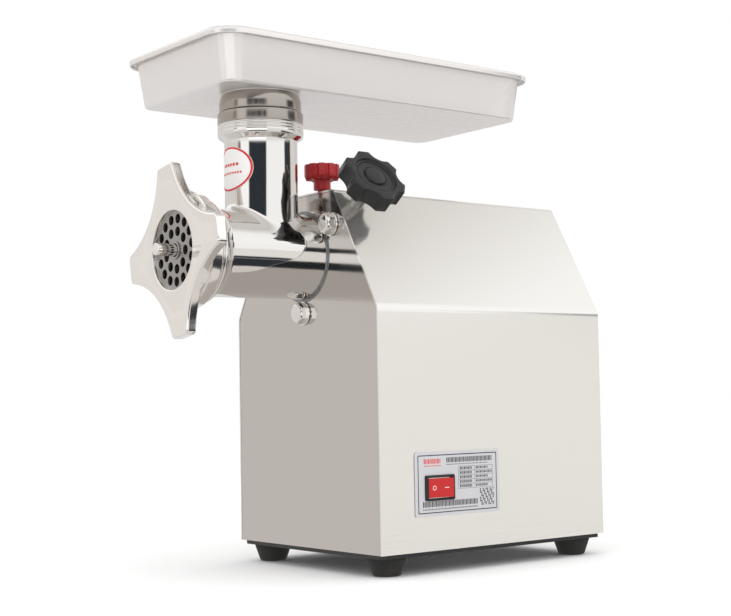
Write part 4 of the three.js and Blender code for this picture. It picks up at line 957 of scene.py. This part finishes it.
def oil_plug():
    """Shank, hub, tapered underside, fluted side and slightly dished top."""
    crown = float(plug_high[2])
    foot = crown - 14 * MM
    flutes = lobed_outline(10, 15.4 * MM, 3.1 * MM, 13.6 * MM, 0.9 * MM, 0)
    angle = np.arctan2(flutes[:, 1], flutes[:, 0])

    def ring(radius):
        return round_loop(radius, angle)

    hub_foot = foot - 8.5 * MM
    loops = [(ring(3.2 * MM), float(plug_low[2])), (ring(4 * MM), float(plug_low[2]) + 1 * MM),
             (ring(4 * MM), hub_foot), (ring(7.1 * MM), hub_foot), (ring(7.5 * MM), hub_foot + 0.5 * MM),
             (ring(7.5 * MM), foot - 0.6 * MM), (ring(8 * MM), foot)]
    side = [(3, foot + 0.4 * MM), (0.6, foot + 2.8 * MM), (0, foot + 3.8 * MM), (0, crown - 1.2 * MM),
            (0.4, crown - 0.3 * MM), (1.2, crown)]
    loops += [(inset_outline(flutes, inset * MM), z) for inset, z in side]
    dish = crown - 0.8 * MM
    loops += [(ring(11 * MM), crown), (ring(10.4 * MM), dish), (ring(0.01 * MM), dish)]
    points = np.array([np.column_stack([plug_x + p[:, 0], plug_y + p[:, 1], np.full(len(p), z)])
                       for p, z in loops])
    return loft("fluted_oil_plug", points, sharp=30)


settle(oil_plug(), "oil_plug", ["oil_plug"], red_plug)

# %% [markdown]
# ## Bolts, screws, gland and feet
#
# A hexagon about an axis is r = apothem / cos(a), with a the angle from the nearest flat's middle. A
# chamfered head is the smaller of that and a cone. The same stack of loops can sink a hexagonal socket
# into a screw's head.

# %% Fasteners and feet
def hexagon(apothem, angles):
    """A hexagon in polar form."""
    sixth = TAU / 6
    return apothem / np.cos((angles + sixth / 2) % sixth - sixth / 2)


def face_front(points, place):
    """Stands loops made about Z so that Z points to -Y, at a place."""
    return np.stack([points[..., 0], -points[..., 2], points[..., 1]], -1) + np.asarray(place)


def hex_bolt(name, node_name):
    """Washer, chamfered hexagonal head with a domed top, and shank."""
    low, high = box(node_name)
    place = ((low[0] + high[0]) / 2, 0, (low[2] + high[2]) / 2)
    face = -low[1]
    angles = circle(72)
    flat = hexagon(8 * MM, angles)
    round_ = np.ones(72)
    washer_top, washer_foot = face - 7 * MM, face - 8.4 * MM
    loops = [(4 * MM * round_, -high[1]), (4 * MM * round_, washer_foot), (9.6 * MM * round_, washer_foot),
             (10.2 * MM * round_, washer_foot + 0.4 * MM), (10.2 * MM * round_, washer_top - 0.3 * MM),
             (9.8 * MM * round_, washer_top), (flat * 0.97, washer_top), (flat, washer_top + 0.4 * MM)]
    for drop in (2.0, 1.5, 1.0, 0.5, 0.2, 0.0):
        cone = (7.5 + 1.1 * drop) * MM
        loops.append((np.minimum(flat, cone), face - drop * MM - 0.3 * MM))
    loops += [(6.6 * MM * round_, face - 0.05 * MM), (3 * MM * round_, face), (0.01 * MM * round_, face)]
    radii = np.array([r for r, _ in loops])
    points = stack(radii, [z for _, z in loops], angles)
    return loft(name, face_front(points, place), sharp=30)


for i in (1, 2, 3):
    bolt = f"flange_bolt_{i}"
    settle(hex_bolt(f"hex_bolt_{i}", bolt), "casing", [bolt], head_steel)


def socket_screw(name, node_name, points_down):
    """A button head with a hexagonal socket, and a shank."""
    low, high = box(node_name)
    centre = (low + high) / 2
    length = (high - low)[2 if points_down else 1]
    radius = (high - low)[0] / 2
    angles = circle(48)
    round_ = np.ones(48)
    socket = hexagon(radius * 0.38, angles)
    crown = 2.4 * MM
    loops = [(2 * MM * round_, crown - length), (2 * MM * round_, 0), (radius * round_, 0),
             (radius * round_, 0.5 * MM), (radius * 0.92 * round_, 1.3 * MM),
             (radius * 0.75 * round_, 2 * MM),
             (radius * 0.55 * round_, crown), (socket, crown), (socket, crown - 1.3 * MM),
             (0.01 * MM * round_, crown - 1.4 * MM)]
    points = stack(np.array([r for r, _ in loops]), [z for _, z in loops], angles)
    if points_down:
        points = points * [1, -1, -1] + [centre[0], centre[1], low[2] + crown]
    else:
        points = np.stack([points[..., 0], points[..., 2], -points[..., 1]], -1)
        points = points + [centre[0], high[1] - crown, centre[2]]
    return loft(name, points, sharp=30)


foot_profile = rounded(np.array([
    [5.6, 6.2], [5.5, 0.4], [6.2, 0], [11.2, 0], [12.1, 1], [16.4, 13.4], [16.5, 14.6],
    [0.02, 14.6]]) * MM, 0.8 * MM)
foot_profile = np.concatenate([[[0.02 * MM, 6.2 * MM]], foot_profile])
for i in (1, 2, 3, 4):
    place = middle(f"foot_{i}") * [1, 1, 0]
    settle(turned(f"rubber_foot_{i}", foot_profile, place, "z", 64), "casing", [f"foot_{i}"],
           foot_rubber)
    settle(socket_screw(f"foot_socket_screw_{i}", f"foot_screw_{i}", True), "casing", [f"foot_screw_{i}"],
           ground_steel)
    settle(socket_screw(f"rear_socket_screw_{i}", f"rear_screw_{i}", False), "casing", [f"rear_screw_{i}"],
           ground_steel)

# %% [markdown]
# ## Switch and rating label
#
# The label is printed foil. Its real print is left out: what stands in for it is a border, a small table
# and rows of plain bars, laid on the foil a few hundredths of a millimetre proud, as ink is. The switch
# is a black frame with a red rocker, marked with a ring and a bar.

# %% Label print
label_low, label_high = box("rating_label")
label_foil = new_material("printed_label_foil", "#D0D0D3", 0.25, 0.42)
foil_grain = streaks(label_foil, [1 / (1.5 * MM)] * 3, 3.0)
feed(label_foil, "Roughness", spread(label_foil, foil_grain.outputs["Fac"], 0.36, 0.48))
finish(label_foil, "rating_label")
black_ink = new_material("black_printing_ink", "#2B2B2E", 0.0, 0.5)
red_ink = new_material("red_printing_ink", "#D62B30", 0.0, 0.5)
INK = 0.04 * MM


def bars(rows):
    """Rectangles [y, z, width, height] in millimetres from the label's lower left corner, as outlines."""
    return [np.array([[y, z], [y + w, z], [y + w, z + h], [y, z + h]]) * MM for y, z, w, h in rows]


def print_on_label(name, outlines, ink):
    """Ink laid on the label: outlines filled in the label's plane."""
    piece = flat_piece(name, outlines, INK)
    stand(piece, (0, 1, 0), (0, 0, 1), (label_high[0], label_low[1], label_low[2]))
    return settle(piece, "casing", [], ink)


def text_row(y, z, widths, height, space=0.8):
    """A row of bars where a line of print would be."""
    row, at = [], y
    for width in widths:
        row.append([at, z, width, height])
        at += width + space
    return row


border = [rectangle_outline(87 * MM, 48 * MM, 1.0 * MM, 46.5 * MM, 26.5 * MM, 3),
          rectangle_outline(85.4 * MM, 46.4 * MM, 0.6 * MM, 46.5 * MM, 26.5 * MM, 3)]
print_on_label("label_border", border, black_ink)


def strokes(y, z, count, height):
    """A row of strokes in groups of three, as wide apart as the strokes of a line of print."""
    return text_row(y, z, [1.1, 0.9, 0.7] * count, height, 0.65)


heading = strokes(34, 43.6, 11, 4.2) + strokes(34, 41.6, 10, 0.7)
footer = strokes(8, 7.6, 13, 4.6) + strokes(8, 5.2, 13, 0.9)
cells = []
for row in range(5):
    cells += strokes(48.6, 22.2 + 3.7 * row, 3, 2.3)
    cells += strokes(66.5, 22.4 + 3.7 * row, 3 + row % 2, 1.9)
blocks = [[70.6 + 1.6 * (k % 10), 6.2 + 1.45 * (k // 10), 1.25, 1.1]
          for k in range(100) if (k * 7 + k // 10) % 5 > 1]
print_on_label("label_lines", bars(heading + footer + cells + blocks), black_ink)
table = [[46.8, 21.2 + 3.7 * row, 38.4, 0.22] for row in range(6)]
table += [[x, 21.2, 0.22, 18.6] for x in (46.8, 65, 85.2)]
for k, line in enumerate(table):
    print_on_label(f"label_rule_{k + 1}", bars([line]), black_ink)
red_rows = strokes(9.5, 43.2, 4, 4) + strokes(10, 41, 4, 0.9)
print_on_label("label_red_mark", bars(red_rows), red_ink)

# %% [markdown]
# The frame and the rocker are moulded. The rocker's outside is a shallow valley that a finger presses on
# either side: across its width u the surface stands at a constant rise plus a share of |u|.

# %% Switch
bezel_low, bezel_high = box("switch_bezel")
bezel_middle = (bezel_low + bezel_high) / 2
PIVOT = np.array([shell_high[0] + 0.5 * MM, bezel_middle[1], bezel_middle[2]])


def switch_frame():
    """The bezel's visible frame: a rounded rectangle with a window, its edges rounded."""
    outlines = [rectangle_outline(31.5 * MM, 21 * MM, 1.5 * MM),
                rectangle_outline(25.8 * MM, 17 * MM, 0.6 * MM)]
    piece = flat_piece("switch_frame", outlines, bezel_high[0] - shell_high[0] - 0.3 * MM, 0.6 * MM, 3)
    return stand(piece, (0, 1, 0), (0, 0, 1), (shell_high[0] + 0.3 * MM, PIVOT[1], PIVOT[2]))


def switch_well():
    """The box behind the frame, open towards the rocker, as nested rectangles."""
    def ring(width, height, x):
        outline = rectangle_outline(width, height, 0.6 * MM, steps=3)
        return np.column_stack([np.full(len(outline), x), PIVOT[1] + outline[:, 0], PIVOT[2] + outline[:, 1]])
    lip, back = shell_high[0] + 0.6 * MM, bezel_low[0]
    loops = [ring(28.9 * MM, 18.4 * MM, back), ring(28.9 * MM, 18.4 * MM, lip), ring(26 * MM, 17.2 * MM, lip),
             ring(26 * MM, 17.2 * MM, back + 1.2 * MM)]
    return welded_loft("switch_well", np.array(loops))


settle(switch_frame(), "casing", ["switch_bezel"], black_nylon)
settle(switch_well(), "casing", [], black_nylon)


def rocker_height(u):
    """How far the rocker's outside stands from its pivot at a place across it, both in metres."""
    return 1.3 * MM + 0.16 * np.sqrt(u ** 2 + (1.2 * MM) ** 2)


def on_rocker(u, height, rise):
    """Points in the rocker's own plane, tilted about Z to its rest."""
    tilt = math.radians(-9)
    x, y = rise, u
    return np.stack([PIVOT[0] + x * math.cos(tilt) - y * math.sin(tilt),
                     PIVOT[1] + x * math.sin(tilt) + y * math.cos(tilt), PIVOT[2] + height], -1)


def rocker():
    """A stack of equal sections up Z: valley in front, round belly behind, edges drawn in at the ends."""
    half = 12.1 * MM
    u = np.linspace(-half, half, 25)
    front = np.stack([u, rocker_height(u)], -1)
    belly = np.stack([u, -2.5 * MM - 5 * MM * np.cos(u / half * math.pi / 2)], -1)[::-1]
    section = np.concatenate([front, belly])
    centre = np.array([0, -1.5 * MM])
    loops = []
    for z, shrink in ((-7.9, 0.97), (-7.7, 0.99), (-7.2, 1), (7.2, 1), (7.7, 0.99), (7.9, 0.97)):
        part = centre + (section - centre) * shrink
        loops.append(on_rocker(part[:, 0], np.full(len(part), z * MM), part[:, 1]))
    return welded_loft("red_rocker", np.array(loops), 30)


settle(rocker(), "rocker", ["switch_rocker"], rocker_red)


def rocker_mark(name, outer, inner, middle_u):
    """Ink on the rocker: a band between two outlines in its face."""
    mesh_points = []
    for outline in (outer, inner):
        u = middle_u + outline[:, 0]
        mesh_points.append(on_rocker(u, outline[:, 1], rocker_height(u) + 0.03 * MM))
    for outline in (inner, outer):
        u = middle_u + outline[:, 0]
        mesh_points.append(on_rocker(u, outline[:, 1], rocker_height(u) - 0.1 * MM))
    mark = welded_loft(name, np.array(mesh_points), ring=True)
    return settle(mark, "rocker", [], mark_white)


rocker_mark("off_mark", disc_outline(0, 0, 1.9 * MM, 32), disc_outline(0, 0, 1.45 * MM, 32), -6 * MM)
rocker_mark("on_mark", rectangle_outline(3.8 * MM, 0.6 * MM, 0.2 * MM, steps=4),
            rectangle_outline(0.8 * MM, 0.2 * MM, 0.05 * MM, steps=4), 6 * MM)

# %% [markdown]
# ## Throat sticker
#
# A film oval is wrapped round the throat. In its own plane it is an ellipse in polar form; the wrap
# takes the sideways distance as an arc, so x = R sin(s / R). The red rim is a band of the same ellipse.

# %% Sticker
sticker_low, sticker_high = box("throat_sticker")
sticker_film = new_material("sticker_film", "#F4F2F0", 0.0, 0.35)
paper = streaks(sticker_film, [1 / (2 * MM)] * 3, 3.0)
bump(sticker_film, paper.outputs["Fac"], 0.01 * MM, 0.3)


def on_throat(radius, across, up):
    """Points wrapped round the throat: across is an arc's length from its front, up is from the middle."""
    centre_z = (sticker_high[2] + sticker_low[2]) / 2
    turn = across / THROAT_R
    return np.stack([AXIS_X + radius * np.sin(turn), THROAT_Y - radius * np.cos(turn), centre_z + up], -1)


def wrapped(name, first, last, rise, material, rows=10, nodes=()):
    """A band of the oval between two shares of its size, standing a rise off the throat."""
    angles = circle(96)
    half_height = (sticker_high[2] - sticker_low[2]) / 2
    share = np.linspace(first, last, rows)[:, None]
    across = 24.5 * MM * share * np.cos(angles)
    up = half_height * share * np.sin(angles)
    radius = THROAT_R + 0.3 * MM + rise
    back = on_throat(THROAT_R + 0.05 * MM, across, up)
    points = np.concatenate([on_throat(radius, across, up), back[::-1]])
    return settle(welded_loft(name, points, ring=True), "head", nodes, material)


wrapped("sticker_oval", 0.0005, 0.995, 0.1 * MM, sticker_film, 16, ["throat_sticker"])
wrapped("sticker_rim", 0.9, 0.985, 0.14 * MM, red_ink, 4)


def sticker_bar(name, across, up, width, height):
    """A short bar of red ink on the sticker."""
    def layer(radius, shrink):
        s = across + np.array([-1, 1, 1, -1]) * width / 2 * shrink
        z = up + np.array([-1, -1, 1, 1]) * height / 2 * shrink
        return on_throat(radius, s, z)
    inner, outer = THROAT_R + 0.3 * MM, THROAT_R + 0.45 * MM
    points = np.array([layer(inner, 1), layer(outer, 1)])
    return loft(name, points)


pieces = []
for row, (up, widths) in enumerate(((3.5, (2.6, 2.6, 2.6, 2.6, 2.6, 2.6)), (-3.5, (1.8,) * 10))):
    pitch = widths[0] + 1.1
    for k in range(len(widths)):
        across = (k - (len(widths) - 1) / 2) * pitch
        tall = (2.4 - row * 0.7) * MM
        pieces.append(sticker_bar(f"bar_{row}_{k}", across * MM, up * MM, widths[k] * MM, tall))


def merge(name, parts):
    """Several meshes as one."""
    points, faces = [], []
    for part in parts:
        first = len(points)
        points += [v.co[:] for v in part.data.vertices]
        faces += [[first + i for i in polygon.vertices] for polygon in part.data.polygons]
        bpy.data.objects.remove(part)
    mesh = bpy.data.meshes.new(name)
    mesh.from_pydata(points, [], faces)
    return weld(name, mesh)


settle(merge("sticker_lines", pieces), "head", [], red_ink)

# %% [markdown]
# ## Camera
#
# The camera stands low, to the right of the barrel's mouth, and looks slightly up at the tray. Its place
# is given from the casing's front edge on the barrel axis. A small roll and a small shift give the same
# framing without turning the view away.

# %% Camera
camera = bpy.data.cameras.new("studio_camera")
camera.lens = 70.85
camera.sensor_width = 36
camera.shift_x = -0.060
camera.shift_y = 0.009
camera.clip_end = 40
eye = bpy.data.objects.new("studio_camera", camera)
bpy.context.scene.collection.objects.link(eye)
stand_point = Vector((AXIS_X + 1.0253, EDGE_Y - 0.7096, 0.1469))
forward = Vector((-0.777, 0.627, 0.0562)).normalized()
roll = Matrix.Rotation(math.radians(-1.1), 4, "Z")
turn = forward.to_track_quat("-Z", "Y").to_matrix().to_4x4()
eye.matrix_world = Matrix.Translation(stand_point) @ turn @ roll
bpy.context.scene.camera = eye
bpy.context.scene.view_settings.view_transform = "Standard"
print("camera at", [round(c, 3) for c in stand_point])

# %% [markdown]
# ## The studio
#
# Polished steel shows nothing but its room, so the room is designed first. A ramp over the height gives
# floor, wall and ceiling. Four tiers of bright and dark panels lie over the wall, each between two
# heights, with a ramp over the compass angle for the order of its panels. Only reflections see the room.
# The view itself sees plain white, and matt surfaces are lit by an even white dome.

# %% Room for reflections
world = bpy.data.worlds.new("studio_room")
world.use_nodes = True
bpy.context.scene.world = world
room = world.node_tree
room.nodes.clear()


def room_node(kind, settings=None, **links):
    """A node of the world, with its settings and what feeds its numbered inputs."""
    made = room.nodes.new("ShaderNode" + kind)
    for key, value in (settings or {}).items():
        setattr(made, key, value)
    for key, value in links.items():
        socket = made.inputs[int(key[1:])]
        if isinstance(value, bpy.types.NodeSocket):
            room.links.new(value, socket)
        else:
            socket.default_value = value
    return made


def ramp(factor, stops):
    """A colour ramp in the room with stops of (place from 0 to 1, hex colour, strength)."""
    made = room_node("ValToRGB", i0=factor)
    elements = made.color_ramp.elements
    while len(elements) < len(stops):
        elements.new(0.5)
    for element, (place, colour, strength) in zip(elements, stops):
        element.position = place
        element.color = [c * strength for c in linear(colour)[:3]] + [1]
    return made.outputs["Color"]


def maths(operation, first, second=0.0):
    """One operation on two values of the room."""
    return room_node("Math", {"operation": operation}, i0=first, i1=second).outputs[0]


direction = room_node("SeparateXYZ", i0=room_node("TexCoord").outputs["Generated"])
compass = maths("ARCTAN2", direction.outputs["Y"], direction.outputs["X"])
compass = maths("ADD", maths("DIVIDE", compass, TAU), 0.5)
height = maths("ADD", maths("DIVIDE", maths("ARCSINE", direction.outputs["Z"]), math.pi), 0.5)


def mixed(share, first, second):
    """One colour of the room turning into another as a share goes from 0 to 1."""
    return room_node("Mix", {"data_type": "RGBA"}, i0=share, i6=first, i7=second).outputs[2]


def panels(bands, softness=4):
    """Stops for a ramp over the compass from (from degree, to degree, colour, strength), edges softened."""
    stops = []
    for start, end, colour, strength in bands:
        stops.append(((start + softness / 2 + 180) / 360, colour, strength))
        stops.append(((end - softness / 2 + 180) / 360, colour, strength))
    return stops


def tier(below, low, high, bands):
    """Panels from one height to another in degrees, over what is there already."""
    places = [(edge + 90 + shift) / 180 for edge in (low, high) for shift in (-1, 1)]
    share = ramp(height, list(zip(places, ("#000000", "#FFFFFF", "#FFFFFF", "#000000"), (1, 1, 1, 1))))
    return mixed(share, below, ramp(compass, panels(bands)))


reflected = ramp(height, [
    (0, "#D8D5D3", 1.0), (0.3, "#DCD8D3", 1.0), (0.62, "#FFFFFF", 1.15), (0.72, "#FFFFFF", 1.1),
    (0.77, "#DAD7D3", 1.0), (1, "#F4F2F0", 1.0)])
reflected = tier(reflected, -31, -14, [
    (-180, -71, "#E4E0DC", 1.0), (-71, -16, "#2E3338", 1.0), (-16, 24, "#EFECE9", 1.0),
    (24, 67, "#33373C", 1.0), (67, 110, "#D6D1CB", 1.0), (110, 180, "#E6E6EA", 1.0)])
reflected = tier(reflected, -14, -9, [
    (-180, -71, "#E4E0DC", 1.0), (-71, -16, "#FFFFFF", 1.4), (-16, 24, "#EFECE9", 1.0),
    (24, 67, "#33373C", 1.0), (67, 180, "#D6D3D0", 1.0)])
reflected = tier(reflected, -9, 6.5, [
    (-180, -109, "#E8E4E1", 1.0), (-109, -71, "#FFFFFF", 1.0), (-71, -16, "#FFFFFF", 1.4),
    (-16, 60, "#F4F2EF", 1.0), (60, 180, "#DEDCDC", 1.0)])
reflected = tier(reflected, 6.5, 17, [
    (-180, -109, "#E6E2DE", 1.0), (-109, -99, "#8C847C", 1.0), (-99, -71, "#FFFFFF", 1.15),
    (-71, -16, "#30353B", 1.0), (-16, 46, "#FFFFFF", 1.1), (46, 72, "#363B41", 1.0),
    (72, 100, "#E9E4DC", 1.0), (100, 180, "#DAD8DA", 1.0)])
path = room_node("LightPath")
DOME = (1.04, 1.04, 1.04, 1)
BACKDROP = (1, 1, 1, 1)
in_mirror = mixed(path.outputs["Is Glossy Ray"], DOME, reflected)
seen = mixed(path.outputs["Is Camera Ray"], in_mirror, BACKDROP)
room_node("OutputWorld", i0=room_node("Background", i0=seen, i1=1.0).outputs[0])

# %% [markdown]
# The floor is pale seamless paper, a wide disc that mirrors leave out, because the room already gives
# them their floor. Two soft boxes overhead give the soft shadow under the machine.

# %% Floor and lights
paper_white = new_material("seamless_paper", "#FDFDFD", 0.0, 0.9)
paper_grain = streaks(paper_white, [1 / (6 * MM)] * 3, 4.0)
bump(paper_white, paper_grain.outputs["Fac"], 0.02 * MM, 0.2)
reach = np.array([0, 0.3, 0.8, 2, 5, 12])
rings = stack(np.tile(reach[:, None], 64), [-0.4 * MM] * len(reach), circle(64))
rings = make_mesh("floor_rings", rings, skin_faces(len(reach), 64, False))
floor = weld("seamless_floor", rings.data)
bpy.data.objects.remove(rings)
floor.data.materials.append(paper_white)
floor.visible_glossy = False


def soft_box(name, place, target, size, power):
    """A round area light of a size in metres, aimed at a point. Mirrors leave it out."""
    light = bpy.data.lights.new(name, "AREA")
    light.shape = "DISK"
    light.size, light.energy = size, power
    lamp = bpy.data.objects.new(name, light)
    bpy.context.scene.collection.objects.link(lamp)
    aim = Vector(target) - Vector(place)
    lamp.matrix_world = Matrix.Translation(place) @ aim.to_track_quat("-Z", "Y").to_matrix().to_4x4()
    lamp.visible_glossy = False
    return lamp


soft_box("overhead_box", (0.3, -0.3, 1.9), (0, 0, 0.1), 1.6, 7)
soft_box("side_box", (1.6, 0.5, 0.9), (0, 0, 0.2), 0.9, 3)
